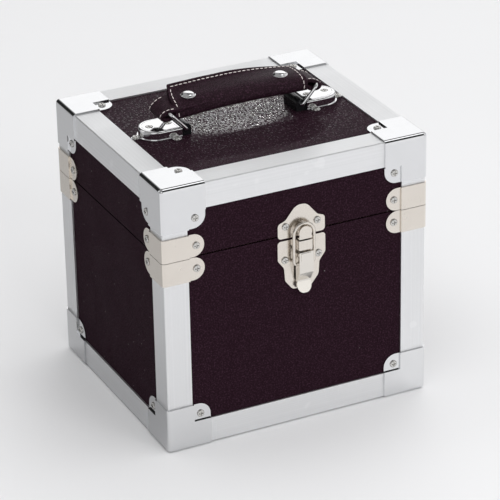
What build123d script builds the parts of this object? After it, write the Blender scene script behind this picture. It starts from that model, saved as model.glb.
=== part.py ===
"""Record carrying case: plywood box in leathercloth, aluminium edges, draw latch, strap handle.

Frame: millimetres, +Z up, front (latch side) towards -Y, origin below the middle of the
bounding box, on the plane that the four lower corner plates stand on.
"""
from build123d import *
import os
from math import cos, radians, sin

# ------------------------------------------------------------------ box
case_width = 215.0            # over the aluminium edges
case_depth = 190.0
case_height = 212.0
lid_height = 57.3             # lid seam to the top of the upper edges
seam_gap = 0.4                # between the rims of base and lid
skin_thickness = 0.7          # leathercloth
wall_thickness = 4.0          # plywood
lining_thickness = 0.8        # paper lining

# ------------------------------------------------------------------ aluminium edges and corner fittings
edge_leg = 20.0
edge_thickness = 1.3
edge_radius = 1.0
plate_thickness = 1.2         # corner plates and clamps
plate_rounding = 3.2          # outside of the corner plates and clamps
seat_clearance = 0.1          # between an edge's leg and the step of a plate that covers it
step_wall = 0.7
corner_reach = 34.5
corner_lobe_radius = 10.0
clamp_height = 18.3
clamp_reach = 33.0
edge_end_gap = 0.5            # between an edge's end and the edge that crosses it

# ------------------------------------------------------------------ screws
head_radius = 2.9
head_height = 1.2
head_rounding = 0.9
recess_width = 0.8
recess_length = 3.6
recess_depth = 0.8
shank_radius = 1.4
thread_depth = 3.2            # how far a shank goes into the plywood
shank_clearance = 0.05
corner_screw_inset = 26.3     # from both outer faces
clamp_screw_inset = 26.6

# ------------------------------------------------------------------ draw latch
latch_x = 3.9
latch_sheet = 1.3
keeper_half_width = 19.3
keeper_foot_drop = 1.9        # how far the keeper reaches below the seam
keeper_shoulder_rise = 10.2
keeper_crest_rise = 23.0
keeper_crest_half_width = 4.4
keeper_flank_half_width = 13.2
keeper_flank_rise = 12.3
keeper_screw_x = 13.0
keeper_screw_rise = 7.6
keeper_roundings = (8.0, 6.0, 3.2, 2.8)           # crest to foot
hook_half_width = 5.0
hook_out = 7.9                # front of the hook, out from the leathercloth
hook_foot_drop = 2.3
hook_crown_rise = 7.8
base_plate_half_width = 19.6
base_plate_top_drop = 3.7
base_plate_waist_drop = 19.2
base_plate_length = 40.6
base_plate_flank_half_width = 14.6
base_plate_flank_drop = 25.8
base_plate_cheek_half_width = 13.8
base_plate_cheek_drop = 36.5
base_plate_foot_half_width = 7.6
base_plate_roundings = (2.6, 4.0, 5.0, 5.0, 4.0)  # top to foot
base_screw_x = 13.7
base_screw_drop = 19.4
bridge_half_width = 5.8
bridge_out = 8.8
bridge_foot_drop = 10.7
bridge_top_drop = 3.1
bridge_rounding = 1.2
lever_pivot_out = 6.4
lever_pivot_drop = 14.6
lever_pin_radius = 1.1
lever_pin_head = 1.6
lever_pin_head_height = 0.5
running_gap = 0.05
ear_inner = 2.6
ear_thickness = 1.2
ear_radius = 1.7
ear_lean = 37.0               # degrees: how far the ear's straight sides slope outwards
ear_foot_top = 3.4            # below the pivot, at the plate
ear_foot_bottom = 9.0
lever_sheet = 1.2
lever_half_width = 5.8
lever_face_out = 3.0          # outer face, out from the pivot
lever_top = 2.3               # above the pivot
lever_bend = 14.0             # below the pivot, where the face turns in
lever_bend_radius = 2.5
lever_waist = 22.8
lever_waist_in = 2.5
lever_tip = 32.0
lever_tip_out = 0.2
lever_tip_half_width = 5.8
lever_pad_half_width = 4.4
lever_pad_height = 0.4
lever_pad_top = 1.6
lever_pad_bottom = 5.0
lever_pad_rounding = 0.3
cheek_depth = 3.4             # in from the pivot
cheek_shoulder = 1.0          # below the pivot, where a cheek reaches its full depth
lever_pad_corner = 1.0
bail_wire = 1.25              # radius
bail_half_width = 8.2         # to the middle of a leg
bail_out = 5.3
bail_below_pivot = 8.0
bail_bend = 2.0
bail_slack = 0.25             # between the wire's arch and the hook's crown

# ------------------------------------------------------------------ back hinges
hinge_inset = 57.5            # from the case's sides to the middle of a hinge
hinge_width = 40.0
hinge_leaf_height = 24.0
hinge_leaf_thickness = 1.5
hinge_barrel_radius = 2.8
hinge_barrel_gap = 0.2        # between a barrel and the other leaf
hinge_pin_radius = 1.4
hinge_knuckle_gap = 0.3
hinge_middle_width = 18.0
hinge_stop_thickness = 2.2
hinge_stop_gap = 0.5          # degrees left between the stops when the lid is fully open
lid_opening = 105.0           # degrees
hinge_screw_x = 13.0
hinge_screw_rise = 15.0

# ------------------------------------------------------------------ handle
mount_edge_gap = 0.2          # between a mount's end tab and the aluminium edge
mount_length = 29.1           # length of a cap
mount_sheet = 1.5
mount_rim = 0.9               # how far the mount plate shows round the cap
cap_half_width = 12.8
cap_height = 6.5
cap_edge_rounding = 1.6
cap_groove = 0.35
cap_groove_inset = 2.4
tab_radius = 3.4
tab_head_gap = 0.1            # between a tab screw's head and the cap
side_tab_inset = 5.8          # from a cap's inner end
cap_screw_inner_inset = 6.0
cap_screw_outer_inset = 21.1
cap_head_rise = 0.15
hinge_block_width = 8.2
hinge_block_half_length = 10.5
ring_axis_rise = 5.4          # above the leathercloth
ring_wire = 1.3               # radius
ring_half_width = 12.3        # to the middle of an arm
ring_length = 19.4
ring_lean = 47.5              # degrees above horizontal, at rest
ring_inner_bend = 1.6
ring_outer_bend = 3.2
strap_half_width = 10.5
strap_thickness = 2.2
strap_upper_rise = 23.3       # middle of the upper layer, above the leathercloth
strap_lower_rise = 18.0
strap_loop_reach = 19.2       # outermost turn of the loop, out from the ring's axis
strap_shoulder_reach = 12.7   # where the upper layer turns down
strap_heel_reach = 15.6
strap_toe_reach = 9.6
strap_entry_reach = 7.4       # where the lower layer turns level, just outside the grip
strap_loop_drop = 4.7         # each below the upper layer
strap_heel_drop = 9.0
strap_toe_drop = 8.2
strap_bend_radii = (3.5, 2.9, 3.6, 3.0, 2.5)
grip_overreach = 6.2          # how far the grip's ends lie outside the rings' axes
grip_half_width = 13.0
grip_thickness = 13.2
grip_rise = 15.6              # underside, above the leathercloth
grip_rounding = 4.8
grip_slot_gap = 0.1
seam_lip_thickness = 3.0
seam_lip_reach = 4.6
seam_lip_rounding = 1.4
seam_lip_tilt = 40.0          # degrees
stud_left_x = -40.9
stud_right_x = 35.6
stud_radius = 5.0
stud_height = 2.2

# ------------------------------------------------------------------ planes worked out from the sizes above
side_out = case_width / 2
front_out = case_depth / 2
low_out = plate_thickness
high_out = low_out + case_height
split_z = high_out - lid_height
base_rim_z = split_z - seam_gap / 2
lid_rim_z = split_z + seam_gap / 2
cloth_side = side_out - edge_thickness
cloth_front = front_out - edge_thickness
cloth_low = low_out + edge_thickness
cloth_high = high_out - edge_thickness
wood_side = cloth_side - skin_thickness
wood_front = cloth_front - skin_thickness
wood_low = cloth_low + skin_thickness
wood_high = cloth_high - skin_thickness
room_side = wood_side - wall_thickness
room_front = wood_front - wall_thickness
room_low = wood_low + wall_thickness
room_high = wood_high - wall_thickness
lobe_sink = edge_thickness - plate_thickness     # a lobe's outer face, in from the edges' faces
step_start = edge_leg + seat_clearance
step_end = step_start + step_wall
screw_length = plate_thickness + skin_thickness + thread_depth

lever_pivot_z = split_z - lever_pivot_drop
lever_pivot_y = -cloth_front - lever_pivot_out
bail_z = lever_pivot_z - bail_below_pivot
hinge_x = side_out - hinge_inset
hinge_axis_out = hinge_leaf_thickness + hinge_barrel_gap + hinge_barrel_radius
hinge_axis_y = cloth_front + hinge_axis_out
hinge_stop_reach = hinge_barrel_radius + hinge_knuckle_gap + hinge_stop_thickness
hinge_stop_angle = (lid_opening + hinge_stop_gap) / 2    # from straight back to a stop's end face
outer_tab_x = side_out - edge_leg - mount_edge_gap - tab_radius
side_tab_y = cap_half_width + tab_head_gap + head_radius
mount_outer_x = outer_tab_x - head_radius - tab_head_gap
mount_inner_x = mount_outer_x - mount_length
side_tab_x = mount_inner_x + side_tab_inset
ring_axis_x = mount_inner_x - hinge_block_width / 2
ring_axis_z = cloth_high + ring_axis_rise
grip_half_length = ring_axis_x + grip_overreach
latch_reach_y = lever_pivot_y - lever_face_out - lever_pad_height
hinge_reach_y = hinge_axis_y + hinge_stop_reach * cos(radians(hinge_stop_angle))
middle_y = (latch_reach_y + hinge_reach_y) / 2   # middle of the bounding box, from the middle of the case
OVERSHOOT = 1.0               # how far a cutting tool runs past what it cuts


# ------------------------------------------------------------------ shared helpers
def block(x_range, y_range, z_range):
    """Box between the given low and high values on each axis."""
    size = [high - low for low, high in (x_range, y_range, z_range)]
    return Pos(x_range[0], y_range[0], z_range[0]) * Box(*size, align=(Align.MIN,) * 3)


def rod(start, end, radius):
    """Round bar between two points."""
    line = Vector(*end) - Vector(*start)
    up = (Align.CENTER, Align.CENTER, Align.MIN)
    return Plane(origin=start, z_dir=line) * Cylinder(radius, line.length, align=up)


def edges_at(solid, point):
    """The three edges of a box that meet at a point."""
    return solid.edges().sort_by_distance(point)[:3]


def facing(point, direction):
    """Plane on a face of the case, looking outwards."""
    return Plane(origin=point, z_dir=direction)


def front_plane(x=0.0, out=0.0):
    """Plane on the front leathercloth: local X is +X, local Y is +Z, extruding goes outwards."""
    return Plane(origin=(x, -cloth_front - out, 0), x_dir=(1, 0, 0), z_dir=(0, -1, 0))


def side_plane(x=0.0):
    """Plane across the latch: local X points out from the front leathercloth, local Y is +Z."""
    return Plane(origin=(x, -cloth_front, 0), x_dir=(0, -1, 0), z_dir=(-1, 0, 0))


def left_and_right(solid, x=0.0):
    """A solid and its mirror image about the plane X = x."""
    return [solid, mirror(solid, about=Plane.YZ.offset(x))]


def front_and_back(solids):
    """Solids and their mirror images about the middle of the depth."""
    return solids + [mirror(solid, about=Plane.XZ) for solid in solids]


def upside_down(solid):
    """Mirror image about the case's middle height."""
    return mirror(solid, about=Plane.XY.offset((low_out + high_out) / 2))


# ------------------------------------------------------------------ screws
def pan_screw(length=screw_length):
    """Cross-recess screw along +Z: the head stands on Z = 0, the shank goes down."""
    up = (Align.CENTER, Align.CENTER, Align.MIN)
    head = Cylinder(head_radius, head_height, align=up)
    head = fillet(head.edges().group_by(Axis.Z)[-1], head_rounding)
    slot = Pos(0, 0, head_height) * Box(recess_length, recess_width, 2 * recess_depth)
    shank = Pos(0, 0, -length) * Cylinder(shank_radius, length, align=up)
    return head + shank - slot - Rot(0, 0, 90) * slot


def screw_hole(length=screw_length):
    """Clearance for a screw's shank, from above its seat to its point."""
    down = (Align.CENTER, Align.CENTER, Align.MAX)
    return Pos(0, 0, OVERSHOOT) * Cylinder(shank_radius + shank_clearance, length + 2 * OVERSHOOT, align=down)


def corner_seats(z_edge, inward):
    """Seats of the corner plates' screws round one end of the case."""
    seats = []
    for sx in (-1, 1):
        for sy in (-1, 1):
            x = sx * (side_out - corner_screw_inset)
            y = sy * (front_out - corner_screw_inset)
            z = z_edge + inward * corner_screw_inset
            seats.append(facing((sx * (side_out - lobe_sink), y, z), (sx, 0, 0)))
            seats.append(facing((x, sy * (front_out - lobe_sink), z), (0, sy, 0)))
            seats.append(facing((x, y, z_edge + inward * lobe_sink), (0, 0, -inward)))
    return seats


def clamp_seats(direction):
    """Seats of the clamps' screws, below (-1) or above (+1) the seam."""
    z = split_z + direction * clamp_height / 2
    seats = []
    for sx in (-1, 1):
        for sy in (-1, 1):
            y = sy * (front_out - clamp_screw_inset)
            x = sx * (side_out - clamp_screw_inset)
            seats.append(facing((sx * (side_out - lobe_sink), y, z), (sx, 0, 0)))
            seats.append(facing((x, sy * (front_out - lobe_sink), z), (0, sy, 0)))
    return seats


def latch_seats(half_spacing, z):
    """Seats of the two screws in a latch plate."""
    y = -cloth_front - latch_sheet
    return [facing((latch_x + side * half_spacing, y, z), (0, -1, 0)) for side in (-1, 1)]


def hinge_seats(direction):
    """Seats of the screws in the hinge leaves, below (-1) or above (+1) the seam."""
    y = cloth_front + hinge_leaf_thickness
    z = split_z + direction * hinge_screw_rise
    places = [hinge + side * hinge_screw_x for hinge in (-hinge_x, hinge_x) for side in (-1, 1)]
    return [facing((x, y, z), (0, 1, 0)) for x in places]


def tab_seats():
    """Seats of the screws in the handle mounts' tabs."""
    z = cloth_high + mount_sheet
    places = [(outer_tab_x, 0), (side_tab_x, -side_tab_y), (side_tab_x, side_tab_y)]
    return [facing((side * x, y, z), (0, 0, 1)) for side in (-1, 1) for x, y in places]


def cap_seats():
    """Seats of the two long screws in each handle cap, set into the cap's top."""
    z = cloth_high + mount_sheet + cap_height + cap_head_rise - head_height
    places = [mount_inner_x + inset for inset in (cap_screw_inner_inset, cap_screw_outer_inset)]
    return [facing((side * x, 0, z), (0, 0, 1)) for side in (-1, 1) for x in places]


cap_screw_length = cap_height + cap_head_rise - head_height + mount_sheet + skin_thickness + thread_depth
keeper_seats = latch_seats(keeper_screw_x, split_z + keeper_screw_rise)
plate_seats = latch_seats(base_screw_x, split_z - base_screw_drop)
base_seats = corner_seats(low_out, 1) + clamp_seats(-1) + plate_seats + hinge_seats(-1)
lid_seats = corner_seats(high_out, -1) + clamp_seats(1) + keeper_seats + hinge_seats(1)
base_holes = [seat * screw_hole() for seat in base_seats]
lid_holes = [seat * screw_hole() for seat in lid_seats]
tab_holes = [seat * screw_hole() for seat in tab_seats()]
cap_holes = [seat * screw_hole(cap_screw_length) for seat in cap_seats()]
handle_holes = tab_holes + cap_holes


# ------------------------------------------------------------------ box
def panels(flat_z, rim_z, holes):
    """Flat panel and four walls of one half of the box, named by side."""
    inward = 1 if rim_z > flat_z else -1
    inner_z = flat_z + inward * wall_thickness
    flat = sorted((flat_z, inner_z))
    wall = sorted((inner_z, rim_z))
    pieces = {
        "flat": block((-wood_side, wood_side), (-wood_front, wood_front), flat),
        "front": block((-wood_side, wood_side), (-wood_front, -room_front), wall),
        "back": block((-wood_side, wood_side), (room_front, wood_front), wall),
        "left": block((-wood_side, -room_side), (-room_front, room_front), wall),
        "right": block((room_side, wood_side), (-room_front, room_front), wall),
    }
    return {side: piece - holes for side, piece in pieces.items()}


def tray(side, front, flat_z, rim_z, thickness):
    """Five-sided sheet of one thickness, open at the rim, whose outer faces are given."""
    inward = 1 if rim_z > flat_z else -1
    outer = block((-side, side), (-front, front), sorted((flat_z, rim_z)))
    inner_side = side - thickness
    inner_front = front - thickness
    hollow = sorted((flat_z + inward * thickness, rim_z + inward * OVERSHOOT))
    return outer - block((-inner_side, inner_side), (-inner_front, inner_front), hollow)


# ------------------------------------------------------------------ aluminium edges
def angle_section():
    """Section of the aluminium edge: outer corner at the origin, legs along +X and +Y."""
    t = edge_thickness
    corner = [(0, 0), (edge_leg, 0), (edge_leg, t), (t, t), (t, edge_leg), (0, edge_leg)]
    face = make_face(Polyline(*corner, close=True))
    return fillet(face.vertices().sort_by_distance((0, 0))[0], edge_radius)


def bottom_edges():
    """The four edges round the bottom, named by side."""
    gap = edge_leg + edge_end_gap
    front_start = Plane(origin=(-side_out + gap, -front_out, low_out), x_dir=(0, 1, 0), z_dir=(1, 0, 0))
    left_start = Plane(origin=(-side_out, -front_out + gap, low_out), x_dir=(0, 0, 1), z_dir=(0, 1, 0))
    front = extrude(front_start * angle_section(), case_width - 2 * gap)
    left = extrude(left_start * angle_section(), case_depth - 2 * gap)
    right = mirror(left, about=Plane.YZ)
    back = mirror(front, about=Plane.XZ)
    return {"front": front, "back": back, "left": left, "right": right}


def posts(z_from, z_to):
    """The four upright edges between two heights: front left, front right, back left, back right."""
    start = Plane(origin=(-side_out, -front_out, z_from))
    post = extrude(start * angle_section(), z_to - z_from)
    return front_and_back(left_and_right(post))


# ------------------------------------------------------------------ corner plates and clamps
def corner_lobe():
    """Sunken lobe of a corner plate, on the face Z = 0, with the step that leads down to it."""
    size = corner_reach - step_start
    outline = Pos(step_start, step_start) * Rectangle(size, size, align=(Align.MIN, Align.MIN))
    free_corner = outline.vertices().sort_by_distance((corner_reach, corner_reach))[0]
    outline = fillet(free_corner, corner_lobe_radius)
    lobe = extrude(Pos(0, 0, -plate_thickness) * outline, plate_thickness + edge_thickness)
    past = corner_reach + OVERSHOOT
    return lobe - block((step_end, past), (step_end, past), (-plate_thickness - OVERSHOOT, lobe_sink))


def corner_plate():
    """Corner plate of the corner at the origin, with the case towards +X, +Y and +Z."""
    t = plate_thickness
    past = corner_reach + OVERSHOOT
    outer = block(*[(-t, corner_reach)] * 3)
    outer = fillet(edges_at(outer, (-t, -t, -t)), plate_rounding)
    inner = block(*[(0, past)] * 3)
    inner = fillet(edges_at(inner, (0, 0, 0)), edge_radius)
    lobe = corner_lobe()
    opening = block((step_end, past), (step_end, past), (-t - OVERSHOOT, lobe_sink))
    diagonal = Axis((0, 0, 0), (1, 1, 1))
    plate = outer - inner - [opening.rotate(diagonal, turn) for turn in (0, 120, 240)]
    return plate + [lobe.rotate(diagonal, turn) for turn in (0, 120, 240)]


def corner_plates(holes):
    """The four lower corner plates: front left, front right, back left, back right."""
    plate = Pos(-side_out, -front_out, low_out) * corner_plate()
    return [piece - holes for piece in front_and_back(left_and_right(plate))]


def clamp():
    """Clamp of the upright edge at the origin, with the case towards +X and +Y and Z from 0."""
    t = plate_thickness
    height = clamp_height - seam_gap / 2
    half = [(clamp_reach, lobe_sink), (step_end, lobe_sink), (step_end, -t), (-t, -t)]
    inside = [(0, 0), (step_start, 0), (step_start, edge_thickness), (clamp_reach, edge_thickness)]
    outer_path = half + [(y, x) for x, y in reversed(half[:-1])]
    inner_path = [(y, x) for x, y in reversed(inside[1:])] + inside
    face = make_face(Polyline(*outer_path, *inner_path, close=True))
    face = fillet(face.vertices().sort_by_distance((-t, -t))[0], plate_rounding)
    face = fillet(face.vertices().sort_by_distance((0, 0))[0], edge_radius)
    strip = extrude(face, height)
    round_x = clamp_reach - height / 2
    past = edge_thickness + OVERSHOOT
    ends = block((round_x, clamp_reach + OVERSHOOT), (-t, past), (-OVERSHOOT, height + OVERSHOOT))
    ends -= rod((round_x, -2 * t, height / 2), (round_x, 2 * edge_thickness + t, height / 2), height / 2)
    return strip - ends - mirror(ends, about=Plane(origin=(0, 0, 0), z_dir=(1, -1, 0)))


def clamps(direction, holes):
    """The four clamps below (-1) or above (+1) the seam."""
    piece = Pos(-side_out, -front_out, split_z + seam_gap / 2) * clamp()
    if direction < 0:
        piece = mirror(piece, about=Plane.XY.offset(split_z))
    return Compound([one - holes for one in front_and_back(left_and_right(piece))])


# ------------------------------------------------------------------ draw latch
def half_outline(points, radii):
    """Face symmetric about local X = 0 from its right-hand corners, top to bottom, rounded."""
    left = [(-x, y) for x, y in reversed(points)]
    face = make_face(Polyline(*points, *left, close=True))
    for (x, y), radius in zip(points, radii):
        for side in (-x, x):
            face = fillet(face.vertices().sort_by_distance((side, y))[0], radius)
    return face


def latch_keeper():
    """Crested plate on the lid with the hook that the bail pulls on."""
    foot = split_z - keeper_foot_drop
    shoulder = split_z + keeper_shoulder_rise
    crest = split_z + keeper_crest_rise
    w = keeper_half_width
    flank = (keeper_flank_half_width, split_z + keeper_flank_rise)
    points = [(keeper_crest_half_width, crest), flank, (w, shoulder), (w, foot)]
    plate = front_plane(latch_x) * half_outline(points, keeper_roundings)
    crown = split_z + hook_crown_rise
    hook_foot = split_z - hook_foot_drop
    hook_middle = crown - hook_half_width
    hook = Pos(0, (hook_foot + hook_middle) / 2) * Rectangle(2 * hook_half_width, hook_middle - hook_foot)
    hook += Pos(0, hook_middle) * Circle(hook_half_width)
    return extrude(plate, latch_sheet) + extrude(front_plane(latch_x) * hook, hook_out)


def latch_ear():
    """One upright ear that carries the lever's pin, as a face across the latch."""
    ear = Pos(lever_pivot_out, lever_pivot_z) * Circle(ear_radius)
    foot_top = (0, lever_pivot_z - ear_foot_top)
    foot_bottom = (0, lever_pivot_z - ear_foot_bottom)
    lean = radians(ear_lean)
    top = (lever_pivot_out + ear_radius * sin(lean), lever_pivot_z + ear_radius * cos(lean))
    bottom = (lever_pivot_out + ear_radius * cos(lean), lever_pivot_z - ear_radius * sin(lean))
    return ear + make_face(Polyline(foot_top, top, bottom, foot_bottom, close=True))


def latch_base_plate():
    """Plate on the base with the bridge above the lever and the two ears for its pin."""
    top = split_z - base_plate_top_drop
    waist = split_z - base_plate_waist_drop
    foot = top - base_plate_length
    w = base_plate_half_width
    flank = (base_plate_flank_half_width, split_z - base_plate_flank_drop)
    cheek = (base_plate_cheek_half_width, split_z - base_plate_cheek_drop)
    points = [(w, top), (w, waist), flank, cheek, (base_plate_foot_half_width, foot)]
    plate = extrude(front_plane(latch_x) * half_outline(points, base_plate_roundings), latch_sheet)
    bridge_low = split_z - bridge_foot_drop
    bridge_high = split_z - bridge_top_drop
    x_range = (latch_x - bridge_half_width, latch_x + bridge_half_width)
    bridge = block(x_range, (-cloth_front - bridge_out, -cloth_front), (bridge_low, bridge_high))
    outer_corners = bridge.edges().filter_by(Axis.Z).group_by(Axis.Y)[0]
    bridge = fillet(outer_corners, bridge_rounding)
    ears = []
    for side in (-1, 1):
        start = latch_x + side * (ear_inner + ear_thickness / 2)
        ears.append(extrude(side_plane(start) * latch_ear(), ear_thickness / 2, both=True))
    pivot = (latch_x - w, lever_pivot_y, lever_pivot_z)
    bore = rod(pivot, (latch_x + w, lever_pivot_y, lever_pivot_z), lever_pin_radius + running_gap)
    return plate + bridge + ears - bore


def latch_pin():
    """Pin of the lever, with a flat head at each end."""
    half = lever_half_width + running_gap
    left, right, end = [(latch_x + offset, lever_pivot_y, lever_pivot_z)
                        for offset in (-half, half, half + lever_pin_head_height)]
    return rod(left, right, lever_pin_radius) + left_and_right(rod(right, end, lever_pin_head), latch_x)


def latch_lever():
    """Folding lever: face, turned-in waist, flared tip and two cheeks."""
    middle = lever_sheet / 2
    face_out = lever_pivot_out + lever_face_out - middle
    z = lever_pivot_z
    waist = (lever_pivot_out - lever_waist_in - middle, z - lever_waist)
    tip = (lever_pivot_out + lever_tip_out, z - lever_tip)
    path = FilletPolyline((face_out, z + lever_top), (face_out, z - lever_bend), waist, tip,
                          radius=lever_bend_radius)
    sheet = extrude(side_plane(latch_x) * trace(path, lever_sheet), lever_tip_half_width, both=True)
    shaft_length = lever_top + lever_waist
    outline = Pos(0, z + lever_top - shaft_length / 2) * Rectangle(2 * lever_half_width, shaft_length)
    outline += Pos(0, z - lever_tip + lever_tip_half_width) * Circle(lever_tip_half_width)
    sheet &= extrude(front_plane(latch_x) * outline, lever_pivot_out + 2 * lever_face_out)
    return sheet + lever_pad() + lever_cheeks() - lever_bores()


def lever_pad():
    """Raised square on the lever's face."""
    face = lever_pivot_out + lever_face_out
    height = lever_pad_top + lever_pad_bottom
    middle_z = lever_pivot_z + (lever_pad_top - lever_pad_bottom) / 2
    pad = RectangleRounded(2 * lever_pad_half_width, height, lever_pad_corner)
    plane = front_plane(latch_x, face - lever_pad_rounding) * Pos(0, middle_z)
    return extrude(plane * pad, lever_pad_height + lever_pad_rounding)


def lever_cheeks():
    """The lever's two side walls."""
    out, z = lever_pivot_out, lever_pivot_z
    face = out + lever_face_out - lever_sheet / 2
    inner = out - cheek_depth
    waist_out = out - lever_waist_in - lever_sheet / 2
    top = z + lever_top - lever_sheet / 2
    corners = [(face, top), (out, top), (inner, z - cheek_shoulder), (inner, z - lever_bend),
               (waist_out, z - lever_waist), (face, z - lever_bend)]
    profile = make_face(Polyline(*corners, close=True))
    cheek = side_plane(latch_x + lever_half_width) * profile
    return left_and_right(extrude(cheek, lever_sheet), latch_x)


def lever_bores():
    """Bores through the cheeks: the pin's and the bail's."""
    past = 2 * lever_half_width
    bores = []
    for out, z, radius in ((lever_pivot_out, lever_pivot_z, lever_pin_radius), (bail_out, bail_z, bail_wire)):
        ends = [(latch_x + side * past, -cloth_front - out, z) for side in (-1, 1)]
        bores.append(rod(*ends, radius + running_gap))
    return bores


def latch_bail():
    """Wire loop: an arch over the hook, two legs, and ends turned in through the lever's cheeks."""
    y = -cloth_front - bail_out
    crown = split_z + hook_crown_rise + bail_slack + bail_wire
    arch_z = crown - bail_half_width
    inner = lever_half_width - lever_sheet - running_gap
    x = bail_half_width
    left_end = Vector(latch_x - inner, y, bail_z)
    left_corner = Vector(latch_x - x, y, bail_z)
    right_corner = Vector(latch_x + x, y, bail_z)
    right_end = Vector(latch_x + inner, y, bail_z)
    left_side = FilletPolyline(left_end, left_corner, (latch_x - x, y, arch_z), radius=bail_bend)
    arch = ThreePointArc((latch_x - x, y, arch_z), (latch_x, y, crown), (latch_x + x, y, arch_z))
    right_side = FilletPolyline((latch_x + x, y, arch_z), right_corner, right_end, radius=bail_bend)
    path = left_side + arch + right_side
    return sweep(Plane(origin=left_end, z_dir=(-1, 0, 0)) * Circle(bail_wire), path=path)


# ------------------------------------------------------------------ back hinges
def hinge_sector(radius_range, angle_range, length):
    """Part of a ring round the hinge axis, along X; angles are from +Y towards +Z."""
    inner, outer = radius_range
    plane = Plane(origin=(-length / 2, hinge_axis_y, split_z), x_dir=(0, 1, 0), z_dir=(1, 0, 0))
    low, high = [radians(angle) for angle in angle_range]
    far = 2 * outer
    middle = (low + high) / 2
    rays = [(0, 0)] + [(far * cos(angle), far * sin(angle)) for angle in (low, middle, high)]
    wedge = make_face(Polyline(*rays, close=True))
    return extrude(plane * ((Circle(outer) - Circle(inner)) & wedge), length)


def hinge_leaf(direction):
    """Leaf below (-1) or above (+1) the seam, for a hinge at X = 0."""
    half = hinge_width / 2
    knuckle = hinge_middle_width / 2
    start = split_z + direction * seam_gap
    end = split_z + direction * hinge_leaf_height
    leaf = block((-half, half), (cloth_front, cloth_front + hinge_leaf_thickness), sorted((start, end)))
    if direction > 0:
        spans = [(-knuckle + hinge_knuckle_gap, knuckle - hinge_knuckle_gap)]
    else:
        spans = [(-half, -knuckle), (knuckle, half)]
    web_end = split_z + direction * hinge_barrel_radius
    for low, high in spans:
        leaf += rod((low, hinge_axis_y, split_z), (high, hinge_axis_y, split_z), hinge_barrel_radius)
        leaf += block((low, high), (cloth_front, hinge_axis_y), sorted((split_z, web_end)))
    leaf += hinge_stop(direction)
    bore = rod((-half - OVERSHOOT, hinge_axis_y, split_z), (half + OVERSHOOT, hinge_axis_y, split_z),
               hinge_pin_radius + running_gap)
    return leaf - bore


def hinge_stop(direction):
    """Curled stop of a leaf, round the middle knuckle; the two meet when the lid is open."""
    length = hinge_middle_width - 2 * hinge_knuckle_gap
    angles = sorted((direction * hinge_stop_angle, direction * 90))
    inner = hinge_barrel_radius - direction * hinge_knuckle_gap
    stop = hinge_sector((inner, hinge_stop_reach), angles, length)
    near = split_z + direction * inner
    far = split_z + direction * hinge_stop_reach
    return stop + block((-length / 2, length / 2), (cloth_front, hinge_axis_y), sorted((near, far)))


def hinge_leaves(direction, holes):
    """Both leaves on one side of the seam: left, right."""
    return [Pos(x, 0, 0) * hinge_leaf(direction) - holes for x in (-hinge_x, hinge_x)]


def hinge_pins():
    """The two hinge pins."""
    ends = [(hinge_x + side * hinge_width / 2, hinge_axis_y, split_z) for side in (-1, 1)]
    pin = rod(*ends, hinge_pin_radius)
    return Compound(left_and_right(pin))


# ------------------------------------------------------------------ handle mounts (built on the right, +X)
def stadium_half(inner_x, outer_x, half_width):
    """D-shaped face: straight across at the inner end, round at the outer end."""
    middle = outer_x - half_width
    body = Pos((inner_x + middle) / 2, 0) * Rectangle(middle - inner_x, 2 * half_width)
    return body + Pos(middle, 0) * Circle(half_width)


def mount_plate():
    """Sheet under a cap, with its three screw tabs."""
    outline = stadium_half(mount_inner_x, mount_outer_x + mount_rim, cap_half_width + mount_rim)
    outline += Pos(outer_tab_x, 0) * Circle(tab_radius)
    outline += Pos(outer_tab_x - tab_radius, 0) * Rectangle(2 * tab_radius, 2 * tab_radius)
    for side in (-1, 1):
        outline += Pos(side_tab_x, side * side_tab_y) * Circle(tab_radius)
    plate = extrude(Pos(0, 0, cloth_high) * outline, mount_sheet)
    return plate - handle_holes


def mount_cap():
    """Domed cap over a mount plate, with a groove round its top and two sunk screws."""
    z = cloth_high + mount_sheet
    outline = stadium_half(mount_inner_x, mount_outer_x, cap_half_width)
    cap = extrude(Pos(0, 0, z) * outline, cap_height)
    cap = fillet(cap.edges().group_by(Axis.Z)[-1], cap_edge_rounding)
    inner_outline = stadium_half(mount_inner_x + cap_groove_inset, mount_outer_x - cap_groove_inset,
                                 cap_half_width - cap_groove_inset)
    ring_outline = stadium_half(mount_inner_x + cap_groove_inset + cap_groove,
                                mount_outer_x - cap_groove_inset - cap_groove,
                                cap_half_width - cap_groove_inset - cap_groove)
    groove = extrude(Pos(0, 0, z + cap_height - cap_groove) * (inner_outline - ring_outline), 2 * cap_groove)
    wells = [seat * Cylinder(head_radius + shank_clearance, 2 * head_height,
                             align=(Align.CENTER, Align.CENTER, Align.MIN)) for seat in cap_seats()]
    return cap - groove - wells - cap_holes


def hinge_block():
    """Block at a cap's inner end whose bore carries the ring."""
    centre_rise = ring_axis_rise
    radius = hinge_block_width / 2
    profile = Pos(ring_axis_x, centre_rise / 2) * Rectangle(2 * radius, centre_rise)
    profile += Pos(ring_axis_x, centre_rise) * Circle(radius)
    profile -= Pos(ring_axis_x, centre_rise) * Circle(ring_wire + running_gap)
    plane = Plane(origin=(0, 0, cloth_high), x_dir=(1, 0, 0), z_dir=(0, -1, 0))
    return extrude(plane * profile, hinge_block_half_length, both=True)


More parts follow.
